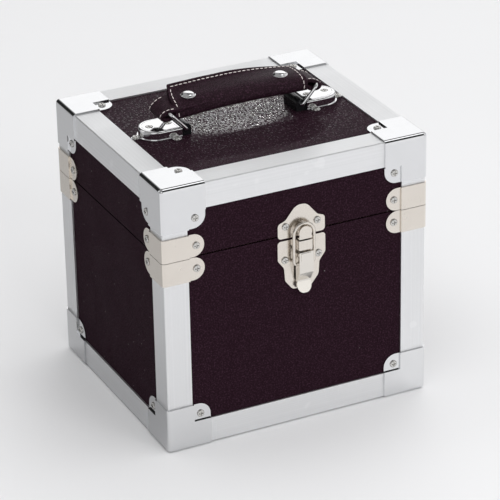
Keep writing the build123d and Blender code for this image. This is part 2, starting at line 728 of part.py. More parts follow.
def ring():
    """Closed wire ring: its inner bar turns in the block, its outer bar carries the strap."""
    plane = Plane(origin=(ring_axis_x, 0, ring_axis_z), x_dir=(0, 1, 0),
                  z_dir=(-sin(radians(ring_lean)), 0, cos(radians(ring_lean))))
    w = ring_half_width
    outward = ring_length if plane.y_dir.X > 0 else -ring_length
    outline = make_face(Polyline((-w, 0), (w, 0), (w, outward), (-w, outward), close=True))
    for y in (-w, w):
        outline = fillet(outline.vertices().sort_by_distance((y, 0))[0], ring_inner_bend)
        outline = fillet(outline.vertices().sort_by_distance((y, outward))[0], ring_outer_bend)
    path = (plane * outline).face().outer_wire()
    start = path @ 0
    return sweep(Plane(origin=start, z_dir=path % 0) * Circle(ring_wire), path=path)


# ------------------------------------------------------------------ handle
def strap_line():
    """Middle line of the strap as a closed loop in the plane Y = 0."""
    top = cloth_high + strap_upper_rise
    shoulder = (ring_axis_x + strap_shoulder_reach, top)
    turn = (ring_axis_x + strap_loop_reach, top - strap_loop_drop)
    heel = (ring_axis_x + strap_heel_reach, top - strap_heel_drop)
    toe = (ring_axis_x + strap_toe_reach, top - strap_toe_drop)
    entry = (ring_axis_x + strap_entry_reach, cloth_high + strap_lower_rise)
    right = [shoulder, turn, heel, toe, entry]
    left = [(-x, z) for x, z in reversed(right)]
    radii = [*strap_bend_radii, *reversed(strap_bend_radii)]
    return Plane.XZ * FilletPolyline(*right, *left, radius=radii, close=True)


def handle_strap():
    """Strap: a flat band looped round both rings and doubled through the grip."""
    line = strap_line()
    start = line @ 0
    across = Plane(origin=start, x_dir=(0, 1, 0), z_dir=line % 0)
    return sweep(across * Rectangle(2 * strap_half_width, strap_thickness), path=line)


def grip_section():
    """Section of the grip across X: rounded body and the sewn lip at the back."""
    low = cloth_high + grip_rise
    middle = low + grip_thickness / 2
    body = Pos(0, middle) * RectangleRounded(2 * grip_half_width, grip_thickness, grip_rounding)
    lip_length = 2 * seam_lip_reach
    lip = Pos(grip_half_width - grip_rounding, low + grip_thickness - grip_rounding)
    lip *= Rot(0, 0, seam_lip_tilt)
    lip *= Pos(lip_length / 2, grip_rounding - seam_lip_thickness)
    return body + lip * RectangleRounded(lip_length, seam_lip_thickness, seam_lip_rounding)


def handle_grip():
    """Padded grip, with the two slots that the strap's layers pass through."""
    plane = Plane(origin=(0, 0, 0), x_dir=(0, 1, 0), z_dir=(1, 0, 0))
    grip = extrude(plane * grip_section(), grip_half_length, both=True)
    past = grip_half_length + OVERSHOOT
    half_width = strap_half_width + grip_slot_gap
    half_slot = strap_thickness / 2 + grip_slot_gap
    for rise in (strap_upper_rise, strap_lower_rise):
        z = cloth_high + rise
        grip -= block((-past, past), (-half_width, half_width), (z - half_slot, z + half_slot))
    return grip


def handle_studs():
    """Domed studs on top of the grip."""
    z = cloth_high + grip_rise + grip_thickness
    sphere_radius = (stud_radius**2 + stud_height**2) / (2 * stud_height)
    dome = Pos(0, 0, stud_height - sphere_radius) * Sphere(sphere_radius)
    dome &= Cylinder(2 * stud_radius, stud_height, align=(Align.CENTER, Align.CENTER, Align.MIN))
    return Compound([Pos(x, 0, z) * dome for x in (stud_left_x, stud_right_x)])


# ------------------------------------------------------------------ assembly
CORNERS = ("front_left", "front_right", "back_left", "back_right")


def screws(seats, length=screw_length):
    """One screw on each seat."""
    screw = pan_screw(length)
    return [seat * screw for seat in seats]


def base_nodes():
    """Everything that stays with the base."""
    walls = panels(wood_low, base_rim_z, base_holes)
    walls["floor"] = walls.pop("flat")
    nodes = {f"base_{side}_panel": piece for side, piece in walls.items()}
    cloth = tray(cloth_side, cloth_front, cloth_low, base_rim_z, skin_thickness)
    nodes["base_leathercloth"] = cloth - base_holes
    nodes["base_lining"] = tray(room_side, room_front, room_low, base_rim_z, lining_thickness)
    nodes |= {f"base_edge_{side}": piece for side, piece in bottom_edges().items()}
    uprights = posts(low_out + edge_leg + edge_end_gap, base_rim_z)
    nodes["base_posts"] = Compound(uprights)
    nodes |= {f"base_corner_{corner}": piece for corner, piece in zip(CORNERS, corner_plates(base_holes))}
    nodes["base_clamps"] = clamps(-1, base_holes)
    nodes["base_screws"] = Compound(screws(base_seats))
    nodes["latch_base_plate"] = latch_base_plate() - base_holes
    nodes["latch_pin"] = latch_pin()
    left, right = hinge_leaves(-1, base_holes)
    nodes["hinge_left_base_leaf"] = left
    nodes["hinge_right_base_leaf"] = right
    nodes["hinge_pins"] = hinge_pins()
    return nodes


def lid_nodes():
    """Everything that turns with the lid."""
    holes = lid_holes + handle_holes
    walls = panels(wood_high, lid_rim_z, holes)
    walls["top"] = walls.pop("flat")
    nodes = {f"lid_{side}_panel": piece for side, piece in walls.items()}
    cloth = tray(cloth_side, cloth_front, cloth_high, lid_rim_z, skin_thickness)
    nodes["lid_leathercloth"] = cloth - holes
    nodes["lid_lining"] = tray(room_side, room_front, room_high, lid_rim_z, lining_thickness)
    nodes |= {f"lid_edge_{side}": upside_down(piece) for side, piece in bottom_edges().items()}
    nodes["lid_posts"] = Compound(posts(lid_rim_z, high_out - edge_leg - edge_end_gap))
    upper = [upside_down(piece) for piece in corner_plates(base_holes)]
    nodes |= {f"lid_corner_{corner}": piece for corner, piece in zip(CORNERS, upper)}
    nodes["lid_clamps"] = clamps(1, lid_holes)
    nodes["lid_screws"] = Compound(screws(lid_seats))
    nodes["latch_keeper"] = latch_keeper() - lid_holes
    left, right = hinge_leaves(1, lid_holes)
    nodes["hinge_left_lid_leaf"] = left
    nodes["hinge_right_lid_leaf"] = right
    return nodes | handle_mount_nodes()


def handle_mount_nodes():
    """The handle's fixed pieces on the lid."""
    nodes = {}
    for name, piece in (("plate", mount_plate()), ("cap", mount_cap()), ("hinge_block", hinge_block())):
        nodes[f"handle_{name}_right"] = piece
        nodes[f"handle_{name}_left"] = mirror(piece, about=Plane.YZ)
    nodes["handle_screws"] = Compound(screws(tab_seats()) + screws(cap_seats(), cap_screw_length))
    return nodes


def moving_nodes():
    """The latch's and the handle's moving pieces."""
    right_ring = ring()
    return {
        "latch_lever": latch_lever(),
        "latch_bail": latch_bail(),
        "ring_right": right_ring,
        "ring_left": mirror(right_ring, about=Plane.YZ),
        "handle_strap": handle_strap(),
        "handle_grip": handle_grip(),
        "handle_studs": handle_studs(),
    }


os.makedirs("parts", exist_ok=True)
for name, shape in (base_nodes() | lid_nodes() | moving_nodes()).items():
    export_step(Pos(0, -middle_y, 0) * shape, f"parts/{name}.step")
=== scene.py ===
"""Record carrying case: finishes, sewn handle, stage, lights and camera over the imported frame.

Lengths are in metres unless a line says otherwise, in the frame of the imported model: +Z up,
latch towards -Y.
"""
import logging
import math
import random
from dataclasses import dataclass, field
from enum import Enum
from functools import cached_property

import bmesh
import bpy
from mathutils import Matrix, Vector, noise


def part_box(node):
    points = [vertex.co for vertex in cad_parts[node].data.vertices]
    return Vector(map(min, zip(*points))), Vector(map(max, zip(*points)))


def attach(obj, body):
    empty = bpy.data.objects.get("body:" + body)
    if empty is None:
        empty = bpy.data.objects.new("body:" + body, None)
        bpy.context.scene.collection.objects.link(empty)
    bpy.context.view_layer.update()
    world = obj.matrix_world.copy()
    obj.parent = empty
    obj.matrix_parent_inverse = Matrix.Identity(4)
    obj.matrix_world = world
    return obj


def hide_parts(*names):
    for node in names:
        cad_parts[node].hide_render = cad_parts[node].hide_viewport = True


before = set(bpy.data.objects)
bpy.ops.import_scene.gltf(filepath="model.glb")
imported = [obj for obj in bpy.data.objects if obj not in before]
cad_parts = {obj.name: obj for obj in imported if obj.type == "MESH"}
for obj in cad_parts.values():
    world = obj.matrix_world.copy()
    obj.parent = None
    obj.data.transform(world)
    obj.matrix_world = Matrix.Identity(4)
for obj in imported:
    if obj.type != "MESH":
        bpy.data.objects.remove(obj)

LOG = logging.getLogger("record_case")
MM = 0.001
Socket = bpy.types.NodeSocket
NUMBER = "NodeSocketFloat"
VECTOR = "NodeSocketVector"
Node = bpy.types.Node
Tree = bpy.types.NodeTree
Sockets = bpy.types.bpy_prop_collection
Material = bpy.types.Material
Piece = bpy.types.Object
Colour = tuple[float, float, float]
BLACK: Colour = (0.0, 0.0, 0.0)
WHITE: Colour = (1.0, 1.0, 1.0)


def scaled(colour: Colour, factor: float) -> Colour:
    """A colour made darker or paler by a factor, at most white."""
    return tuple(min(1.0, factor * channel) for channel in colour)


class Along(Enum):
    """Direction that an extrusion, a board's thickness or a brushed finish runs in."""

    X = 0
    Y = 1
    Z = 2

    def others(self) -> list[int]:
        """The two axes across this one."""
        return [axis for axis in range(3) if axis != self.value]


# ---------------- shader wiring
@dataclass
class Wiring:
    """Adds and joins the nodes of one shader tree."""

    tree: Tree

    def node(self, kind: str, inputs: dict | None = None, **settings) -> Node:
        """Adds a node.

        Args:
            kind: Blender's name of the node type.
            inputs: values or sockets for the node's inputs, by name or index.
            settings: the node's own properties.

        Returns:
            The new node.
        """
        made = self.tree.nodes.new(kind)
        for name, value in settings.items():
            setattr(made, name, value)
        for socket, value in (inputs or {}).items():
            self.feed(made.inputs[socket], value)
        return made

    def feed(self, socket: Socket, value) -> None:
        """Links a socket to a socket, or sets it to a constant.

        Args:
            socket: the input.
            value: an output socket or a constant.
        """
        if isinstance(value, Socket):
            self.tree.links.new(value, socket)
        elif socket.type == "RGBA":
            socket.default_value = (*value[:3], 1.0)
        else:
            socket.default_value = value

    def feed_all(self, made: Node, **values) -> None:
        """Feeds several inputs of a node, by name with _ for a space."""
        for name, value in values.items():
            self.feed(made.inputs[name.replace("_", " ")], value)

    def math(self, operation: str, first, second=0.0, third=0.0, clamp: bool = False) -> Socket:
        """A Math node's result.

        Args:
            operation: Blender's name of the operation.
            first: first value or socket.
            second: second value or socket.
            third: third value or socket.
            clamp: True keeps the result between 0 and 1.

        Returns:
            The output socket.
        """
        made = self.node("ShaderNodeMath", operation=operation, use_clamp=clamp)
        for index, value in enumerate((first, second, third)):
            self.feed(made.inputs[index], value)
        return made.outputs[0]

    def spread(self, value: Socket, low: float, high: float, to_low: float = 0.0,
               to_high: float = 1.0) -> Socket:
        """A value mapped from low..high to to_low..to_high, clamped."""
        made = self.node("ShaderNodeMapRange", {0: value, 1: low, 2: high, 3: to_low, 4: to_high})
        return made.outputs[0]

    def blend(self, share, first, second) -> Socket:
        """Mixes two colours.

        Args:
            share: 0 gives the first colour, 1 the second.
            first: colour or socket.
            second: colour or socket.

        Returns:
            The mixed colour's socket.
        """
        made = self.node("ShaderNodeMix", data_type="RGBA")
        self.feed(made.inputs["Factor"], share)
        for index, value in ((6, first), (7, second)):
            self.feed(made.inputs[index], value)
        return made.outputs[2]

    def place(self, scale: tuple[float, float, float] = (1.0, 1.0, 1.0)) -> Socket:
        """The piece's own coordinates, scaled per axis."""
        own = self.node("ShaderNodeTexCoord").outputs["Object"]
        return self.node("ShaderNodeMapping", {"Vector": own, "Scale": scale}).outputs[0]

    def effect(self, group: Tree, **inputs) -> Node:
        """Places a shared effect.

        Args:
            group: the node group.
            inputs: values or sockets for its inputs, by name.

        Returns:
            The group node.
        """
        made = self.node("ShaderNodeGroup", node_tree=group)
        for name, value in inputs.items():
            self.feed(made.inputs[name], value)
        return made

    def noise(self, vector: Socket, scale, detail: float, **more) -> Socket:
        """A noise texture's factor, with scale waves per metre and detail finer layers."""
        inputs = {"Vector": vector, "Scale": scale, "Detail": detail, **more}
        return self.node("ShaderNodeTexNoise", inputs).outputs["Fac"]

    def bump(self, height: Socket, strength: float, distance: float) -> Socket:
        """A normal bent by a height from 0 to 1, a full step of which is distance high."""
        made = self.node("ShaderNodeBump", {"Height": height, "Strength": strength, "Distance": distance})
        return made.outputs[0]


def new_group(name: str, inputs: dict[str, str], outputs: dict[str, str]) -> tuple[Wiring, Sockets, Sockets]:
    """An empty node group with named sockets.

    Args:
        name: the group's name.
        inputs: socket types by input name.
        outputs: socket types by output name.

    Returns:
        The wiring, the sockets that give the group's inputs and those that take its outputs.
    """
    tree = bpy.data.node_groups.new(name, "ShaderNodeTree")
    for direction, sockets in (("INPUT", inputs), ("OUTPUT", outputs)):
        for socket, kind in sockets.items():
            tree.interface.new_socket(name=socket, in_out=direction, socket_type=kind)
    given, result = tree.nodes.new("NodeGroupInput"), tree.nodes.new("NodeGroupOutput")
    return Wiring(tree), given.outputs, result.inputs


class Effects:
    """The surface effects that several finishes share, each built once."""

    @cached_property
    def grain(self) -> Tree:
        """Pebbles of leather: rounded cells with valleys between them."""
        wobble, dome_half_width, dome_power = 0.6 * MM, 0.42, 0.55
        crease_scale, crease_share, height_share = 2.7, 0.55, 0.66
        inputs = {"Vector": VECTOR, "Scale": NUMBER}
        wiring, given, result = new_group("pebble_grain", inputs, {"Height": NUMBER, "Valley": NUMBER})
        place, scale = given["Vector"], given["Scale"]
        swirl = wiring.node("ShaderNodeTexNoise", {"Vector": place, "Scale": scale, "Detail": 2.0})
        shifted = wiring.node("ShaderNodeVectorMath", {0: swirl.outputs["Color"], 1: (wobble,) * 3},
                              operation="MULTIPLY")
        moved = wiring.node("ShaderNodeVectorMath", {0: place, 1: shifted.outputs[0]}, operation="ADD")
        cells = wiring.node("ShaderNodeTexVoronoi", {"Vector": moved.outputs[0], "Scale": scale},
                            feature="DISTANCE_TO_EDGE")
        dome = wiring.spread(cells.outputs["Distance"], 0.0, dome_half_width)
        dome = wiring.math("POWER", dome, dome_power)
        creases = wiring.noise(place, wiring.math("MULTIPLY", scale, crease_scale), 3.0, Roughness=0.6)
        height = wiring.math("MULTIPLY_ADD", creases, crease_share, dome)
        wiring.feed(result["Height"], wiring.math("MULTIPLY", height, height_share))
        wiring.feed(result["Valley"], wiring.math("SUBTRACT", 1.0, dome))
        return wiring.tree

    @cached_property
    def lines(self) -> Tree:
        """Lines that a drawing die leaves along a profile."""
        kinds = {"Fine": (3800.0, 1.2, 4.0), "Broad": (620.0, 0.4, 1.0)}
        inputs = {"Across": NUMBER, "Length": NUMBER}
        wiring, given, result = new_group("die_lines", inputs, {name: NUMBER for name in kinds})
        across, length = given["Across"], given["Length"]
        for name, (lines_per_metre, waves_per_metre, detail) in kinds.items():
            joined = wiring.node("ShaderNodeCombineXYZ", {
                0: wiring.math("MULTIPLY", across, lines_per_metre),
                1: wiring.math("MULTIPLY", length, waves_per_metre)})
            wiring.feed(result[name], wiring.noise(joined.outputs[0], 1.0, detail))
        return wiring.tree

    @cached_property
    def marks(self) -> Tree:
        """Soft patches that handling leaves."""
        inputs = {"Vector": VECTOR, "Scale": NUMBER}
        wiring, given, result = new_group("handling_marks", inputs, {"Mask": NUMBER})
        place, scale = given["Vector"], given["Scale"]
        patches = wiring.noise(place, scale, 4.0, Roughness=0.55, Distortion=0.6)
        wiring.feed(result["Mask"], wiring.spread(patches, 0.35, 0.7))
        return wiring.tree

    @cached_property
    def scratches(self) -> Tree:
        """Hairline scratches in two directions."""
        directions = ((0.5, (2600.0, 60.0, 90.0)), (-0.9, (70.0, 2400.0, 80.0)))
        inputs = {"Vector": VECTOR, "Amount": NUMBER}
        wiring, given, result = new_group("hairline_scratches", inputs, {"Mask": NUMBER})
        total = 0.0
        for turn, stretch in directions:
            turned = wiring.node("ShaderNodeMapping", {
                "Vector": given["Vector"], "Rotation": (turn, 0.7 * turn, turn), "Scale": stretch})
            streaks = wiring.noise(turned.outputs[0], 1.0, 1.0)
            hairlines = wiring.spread(streaks, 0.68, 0.74)
            total = wiring.math("ADD", total, hairlines, clamp=True)
        wiring.feed(result["Mask"], wiring.math("MULTIPLY", total, given["Amount"]))
        return wiring.tree

    @cached_property
    def dust(self) -> Tree:
        """Scattered pale specks."""
        bare_share, faded_out, full = 0.965, 0.10, 0.04
        inputs = {"Vector": VECTOR, "Scale": NUMBER}
        wiring, given, result = new_group("dust_specks", inputs, {"Mask": NUMBER})
        place, scale = given["Vector"], given["Scale"]
        cells = wiring.node("ShaderNodeTexVoronoi", {"Vector": place, "Scale": scale})
        pick = wiring.node("ShaderNodeSeparateColor", {0: cells.outputs["Color"]}).outputs[0]
        chosen = wiring.math("GREATER_THAN", pick, bare_share)
        near = wiring.spread(cells.outputs["Distance"], faded_out, full)
        wiring.feed(result["Mask"], wiring.math("MULTIPLY", chosen, near))
        return wiring.tree


# ---------------- finishes
@dataclass(frozen=True)
class Finish:
    """A finish that several pieces may share.

    Attributes:
        name: the material's name.
        colour: base colour, linear.
        roughness: middle roughness.
    """

    name: str
    colour: Colour
    roughness: float

    def build(self, effects: Effects) -> Material:
        """Makes the material.

        Args:
            effects: the shared effects.

        Returns:
            The material.
        """
        material = bpy.data.materials.new(self.name)
        material.use_nodes = True
        material.diffuse_color = (*self.colour, 1.0)
        wiring = Wiring(material.node_tree)
        shader = material.node_tree.nodes["Principled BSDF"]
        wiring.feed_all(shader, Base_Color=self.colour, Roughness=self.roughness)
        self.shade(wiring, shader, effects)
        return material

    def shade(self, wiring: Wiring, shader: Node, effects: Effects) -> None:
        """Adds the finish's detail to the shader.

        Args:
            wiring: the material's wiring.
            shader: its Principled BSDF.
            effects: the shared effects.
        """
        raise NotImplementedError


@dataclass(frozen=True)
class Polish:
    """An oval patch of the lid that hands have polished under the grip, with stray glints round it.

    Attributes:
        centre: its middle.
        half_size: its half size along each axis.
        gloss: specular level of the polished pebbles.
        smoother: how much roughness the polish takes off.
    """

    centre: tuple[float, float, float] = (-1.976 * MM, 12.0 * MM, 212.0 * MM)
    half_size: tuple[float, float, float] = (52.0 * MM, 32.0 * MM, 10.0 * MM)
    gloss: float = 1.0
    smoother: float = 0.16

    def masks(self, wiring: Wiring, pebble: float) -> tuple[Socket, Socket]:
        """Where the leather is polished. Distances from the patch are shares of its half size.

        Args:
            wiring: the material's wiring.
            pebble: size of a pebble.

        Returns:
            The polished pebbles alone, and these with the glints.
        """
        faded_out, full, glints_end, glint_share = 1.06, 0.9, 2.8, 0.6
        stretch, spots_per_pebble = (1.0, 0.45, 1.0), 0.85
        patch = wiring.node("ShaderNodeMapping", {
            "Vector": wiring.place(), "Scale": tuple(1.0 / size for size in self.half_size),
            "Location": tuple(-middle / size for middle, size in zip(self.centre, self.half_size))})
        away = wiring.node("ShaderNodeVectorMath", {0: patch.outputs[0]}, operation="LENGTH").outputs["Value"]
        spots = wiring.noise(wiring.place(stretch), spots_per_pebble / pebble, 1.0)
        inside = wiring.spread(away, faded_out, full)
        rubbed = wiring.math("MULTIPLY", inside, wiring.spread(spots, 0.47, 0.56))
        around = wiring.spread(away, glints_end, 1.0, 0.0, glint_share)
        glints = wiring.math("MULTIPLY", around, wiring.spread(spots, 0.61, 0.70))
        return rubbed, wiring.math("MAXIMUM", rubbed, glints)


@dataclass(frozen=True)
class Leather(Finish):
    """Leather or leathercloth with a pebbled grain.

    Attributes:
        pebble: size of a pebble.
        relief: height of the grain.
        strength: strength of the grain's bump.
        highlight: colour of the pebbles' paler tops, partly wear and partly a painted highlight.
        gloss: specular level.
        mottle: how unevenly the grain's colour shows.
        dusty: share of pale dust specks.
        polish: a polished patch, if it has one.
        seam: height of a painted shadow line along the seam, 0 for none.
    """

    pebble: float
    relief: float
    strength: float
    highlight: Colour
    gloss: float
    mottle: float
    dusty: float = 0.0
    polish: Polish | None = None
    seam: float = 0.0

    def shade(self, wiring: Wiring, shader: Node, effects: Effects) -> None:
        """Grain, pebble tops (wear and painted highlight), painted seam shadow, polish and roughness. See
        Finish.shade.
        """
        # Colour of the painted shadow along the seam.
        seam_shadow_colour = (0.0008, 0.0004, 0.0006)
        place = wiring.place()
        grain = wiring.effect(effects.grain, Vector=place, Scale=1.0 / self.pebble)
        colour = self.coloured(wiring, grain, effects)
        marks = wiring.effect(effects.marks, Vector=place, Scale=28.0)
        rough = wiring.math("MULTIPLY_ADD", marks.outputs["Mask"], 0.10, self.roughness - 0.05)
        rough = wiring.math("MULTIPLY_ADD", grain.outputs["Valley"], 0.18, rough)
        gloss = self.gloss
        # Painted shadow: a near-black band along the seam, with its gloss taken away, stands in for the shade
        # in the gap there.
        if self.seam:
            height = wiring.node("ShaderNodeSeparateXYZ", {0: place}).outputs["Z"]
            away = wiring.math("ABSOLUTE", wiring.math("SUBTRACT", height, self.seam))
            line = wiring.spread(away, 0.7 * MM, 0.35 * MM)
            colour = wiring.blend(line, colour, seam_shadow_colour)
            gloss = wiring.math("MULTIPLY", self.gloss, wiring.math("SUBTRACT", 1.0, line))
        if self.polish:
            rubbed, bright = self.polish.masks(wiring, self.pebble)
            gloss = wiring.math("MULTIPLY_ADD", bright, self.polish.gloss, gloss)
            rough = wiring.math("SUBTRACT", rough, wiring.math("MULTIPLY", rubbed, self.polish.smoother))
        wiring.feed_all(shader, Base_Color=colour, Roughness=rough, Specular_IOR_Level=gloss,
                        Normal=wiring.bump(grain.outputs["Height"], self.strength, self.relief))

    def coloured(self, wiring: Wiring, grain: Node, effects: Effects) -> Socket:
        """The grain's colours: paler tops (wear and painted highlight), painted shade in the valleys, clumps,
        hollows and dust.

        Args:
            wiring: the material's wiring.
            grain: the grain's node.
            effects: the shared effects.

        Returns:
            The colour.
        """
        dust_colour = (0.42, 0.38, 0.38)
        wear_and_highlight_share, painted_valley_shade, pale_clump, dark_hollow = 0.55, 0.45, 2.6, 0.35
        place = wiring.place()
        # Paler pebble tops: partly wear, partly a painted highlight where the grain stands highest.
        tops = wiring.spread(grain.outputs["Height"], 0.62, 0.95, 0.0, wear_and_highlight_share)
        colour = wiring.blend(tops, self.colour, self.highlight)
        # Painted shade: the valleys between the pebbles are darkened.
        valleys = wiring.math("MULTIPLY", grain.outputs["Valley"], painted_valley_shade)
        colour = wiring.blend(valleys, colour, scaled(self.colour, painted_valley_shade))
        clumps = wiring.noise(place, 0.8 / self.pebble, 2.0)
        pale = wiring.spread(clumps, 0.50, 0.72, 0.0, self.mottle)
        colour = wiring.blend(pale, colour, scaled(self.highlight, pale_clump))
        hollow = wiring.spread(clumps, 0.50, 0.30, 0.0, self.mottle)
        colour = wiring.blend(hollow, colour, scaled(self.colour, dark_hollow))
        if not self.dusty:
            return colour
        dust = wiring.effect(effects.dust, Vector=place, Scale=170.0)
        share = wiring.math("MULTIPLY", dust.outputs["Mask"], self.dusty)
        return wiring.blend(share, colour, dust_colour)


@dataclass(frozen=True)
class Profile(Finish):
    """Drawn aluminium with lines along its length.

    Attributes:
        along: direction of the profile.
    """

    along: Along

    def shade(self, wiring: Wiring, shader: Node, effects: Effects) -> None:
        """Die lines, scratches and dull patches. See Finish.shade."""
        scratched, scratch_colour, metallic = 0.5, (0.95, 0.95, 0.96), 0.95
        place = wiring.place()
        parts = wiring.node("ShaderNodeSeparateXYZ", {0: place})
        first, second = self.along.others()
        across = wiring.math("ADD", parts.outputs[first], parts.outputs[second])
        lines = wiring.effect(effects.lines, Across=across, Length=parts.outputs[self.along.value])
        fine, broad = lines.outputs["Fine"], lines.outputs["Broad"]
        marks = wiring.effect(effects.marks, Vector=place, Scale=17.0).outputs["Mask"]
        scratches = wiring.effect(effects.scratches, Vector=place, Amount=scratched).outputs["Mask"]
        colour = wiring.blend(wiring.spread(broad, 0.3, 0.7), scaled(self.colour, 0.95), self.colour)
        colour = wiring.blend(wiring.math("MULTIPLY", scratches, scratched), colour, scratch_colour)
        rough = wiring.math("MULTIPLY_ADD", fine, 0.16, self.roughness - 0.08)
        rough = wiring.math("MULTIPLY_ADD", marks, 0.06, rough)
        relief = wiring.math("ADD", broad, fine)
        wiring.feed_all(shader, Base_Color=colour, Roughness=rough, Metallic=metallic,
                        Normal=wiring.bump(relief, 0.35, 0.05 * MM))


@dataclass(frozen=True)
class Plated(Finish):
    """Chrome or nickel plate on pressed steel.

    Attributes:
        waviness: strength of the pressed sheet's slow waves.
        worn: share of hairline scratches.
    """

    waviness: float
    worn: float = 0.4

    def shade(self, wiring: Wiring, shader: Node, effects: Effects) -> None:
        """Slow waves, scratches and finger marks. See Finish.shade."""
        place = wiring.place()
        marks = wiring.effect(effects.marks, Vector=place, Scale=55.0).outputs["Mask"]
        scratches = wiring.effect(effects.scratches, Vector=place, Amount=self.worn).outputs["Mask"]
        colour = wiring.blend(wiring.math("MULTIPLY", marks, 0.25), self.colour, scaled(self.colour, 0.9))
        rough = wiring.math("MULTIPLY_ADD", marks, 0.06, self.roughness)
        rough = wiring.math("MULTIPLY_ADD", scratches, 0.12, rough)
        waves = wiring.noise(place, 75.0, 1.0)
        wiring.feed_all(shader, Base_Color=colour, Roughness=rough, Metallic=1.0,
                        Normal=wiring.bump(waves, self.waviness, 0.4 * MM))


@dataclass(frozen=True)
class Gloss(Finish):
    """Moulded gloss plastic or enamel."""

    def shade(self, wiring: Wiring, shader: Node, effects: Effects) -> None:
        """Finger marks and faint flow waves. See Finish.shade."""
        place = wiring.place()
        marks = wiring.effect(effects.marks, Vector=place, Scale=110.0).outputs["Mask"]
        waves = wiring.noise(place, 260.0, 1.0)
        wiring.feed_all(shader, Roughness=wiring.math("MULTIPLY_ADD", marks, 0.15, self.roughness),
                        Normal=wiring.bump(waves, 0.12, 0.2 * MM))


@dataclass(frozen=True)
class Plywood(Finish):
    """Thin plywood, with its plies on the cut edge.

    Attributes:
        through: direction of the board's thickness.
        middle: distance of the board's middle from the origin along it.
    """

    through: Along
    middle: float

    def shade(self, wiring: Wiring, shader: Node, effects: Effects) -> None:
        """Plies across the edge and fibres along them. See Finish.shade."""
        plies, fibres_along, fibres_through, fibre_colour = 1.6 * MM, 60.0, 1400.0, (0.20, 0.12, 0.06)
        parts = wiring.node("ShaderNodeSeparateXYZ", {0: wiring.place()})
        depth = wiring.math("ABSOLUTE", parts.outputs[self.through.value])
        depth = wiring.math("SUBTRACT", depth, self.middle)
        ply = wiring.math("SINE", wiring.math("MULTIPLY", depth, 2 * math.pi / plies))
        dark = wiring.spread(ply, -0.2, 0.5)
        scale = [fibres_along] * 3
        scale[self.through.value] = fibres_through
        fibre = wiring.noise(wiring.place(tuple(scale)), 1.0, 5.0)
        colour = wiring.blend(dark, self.colour, scaled(self.colour, 0.62))
        colour = wiring.blend(wiring.spread(fibre, 0.45, 0.75, 0.0, 0.5), colour, fibre_colour)
        wiring.feed_all(shader, Base_Color=colour, Normal=wiring.bump(fibre, 0.4, 0.1 * MM))


@dataclass(frozen=True)
class Paper(Finish):
    """Lining paper with pressed fibres."""

    def shade(self, wiring: Wiring, shader: Node, effects: Effects) -> None:
        """Fibres and soft patches. See Finish.shade."""
        fibres = wiring.noise(wiring.place((900.0, 240.0, 700.0)), 1.0, 6.0, Roughness=0.7)
        marks = wiring.effect(effects.marks, Vector=wiring.place(), Scale=14.0).outputs["Mask"]
        colour = wiring.blend(wiring.spread(fibres, 0.4, 0.7), self.colour, scaled(self.colour, 1.7))
        colour = wiring.blend(wiring.math("MULTIPLY", marks, 0.3), colour, scaled(self.colour, 0.6))
        wiring.feed_all(shader, Base_Color=colour, Specular_IOR_Level=0.25,
                        Normal=wiring.bump(fibres, 0.5, 0.08 * MM))


@dataclass(frozen=True)
class Thread(Finish):
    """Waxed sewing thread with its twist."""

    def shade(self, wiring: Wiring, shader: Node, effects: Effects) -> None:
        """Twisted plies. See Finish.shade."""
        wave = wiring.node("ShaderNodeTexWave", {"Vector": wiring.place(), "Scale": 900.0, "Distortion": 1.5},
                           bands_direction="DIAGONAL").outputs["Fac"]
        colour = wiring.blend(wave, scaled(self.colour, 0.7), self.colour)
        wiring.feed_all(shader, Base_Color=colour, Normal=wiring.bump(wave, 0.5, 0.1 * MM))


# ---------------- mesh helpers
def smooth_loop(points: list[Vector], count: int) -> list[Vector]:
    """Points evenly spaced by parameter on a closed Catmull-Rom curve.

    Args:
        points: the curve's own points.
        count: how many points to return.

    Returns:
        The sampled points.
    """
    made = []
    for step in range(count):
        position = step * len(points) / count
        start = int(position)
        share = position - start
        before, near, far, after = (points[(start + offset) % len(points)] for offset in (-1, 0, 1, 2))
        slope = far - before
        curve = 2 * before - 5 * near + 4 * far - after
        swing = 3 * near - before - 3 * far + after
        made.append(0.5 * (2 * near + slope * share + curve * share**2 + swing * share**3))
    return made


def skin(rings: list[list[Vector]], closed: bool) -> bmesh.types.BMesh:
    """A tube through rings of points, made from a folded grid.

    Args:
        rings: rings of equal length, each running round the tube.
        closed: True joins the last ring to the first.

    Returns:
        The mesh, open at its ends unless closed.
    """
    mesh = bmesh.new()
    rows = rings + rings[:1] if closed else rings
    width = len(rows[0])
    bmesh.ops.create_grid(mesh, x_segments=width, y_segments=len(rows) - 1, size=0.5)
    mesh.verts.ensure_lookup_table()
    for index, vertex in enumerate(mesh.verts):
        row, column = divmod(index, width + 1)
        vertex.co = rows[row][column % width]
    bmesh.ops.remove_doubles(mesh, verts=mesh.verts[:], dist=1e-6)
    bmesh.ops.recalc_face_normals(mesh, faces=mesh.faces[:])
    return mesh


def finish_piece(name: str, mesh: bmesh.types.BMesh, material: Material, subdivide: int = 0) -> Piece:
    """Turns a mesh into a piece at the origin.

    Args:
        name: the piece's name.
        mesh: its geometry, which is freed.
        material: its finish.
        subdivide: levels of subdivision.

    Returns:
        The new piece.
    """
    data = bpy.data.meshes.new(name)
    mesh.to_mesh(data)
    mesh.free()
    for polygon in data.polygons:
        polygon.use_smooth = True
    data.materials.append(material)
    piece = bpy.data.objects.new(name, data)
    bpy.context.scene.collection.objects.link(piece)
    if subdivide:
        modifier = piece.modifiers.new("smooth", "SUBSURF")
        modifier.levels = modifier.render_levels = subdivide
    return piece


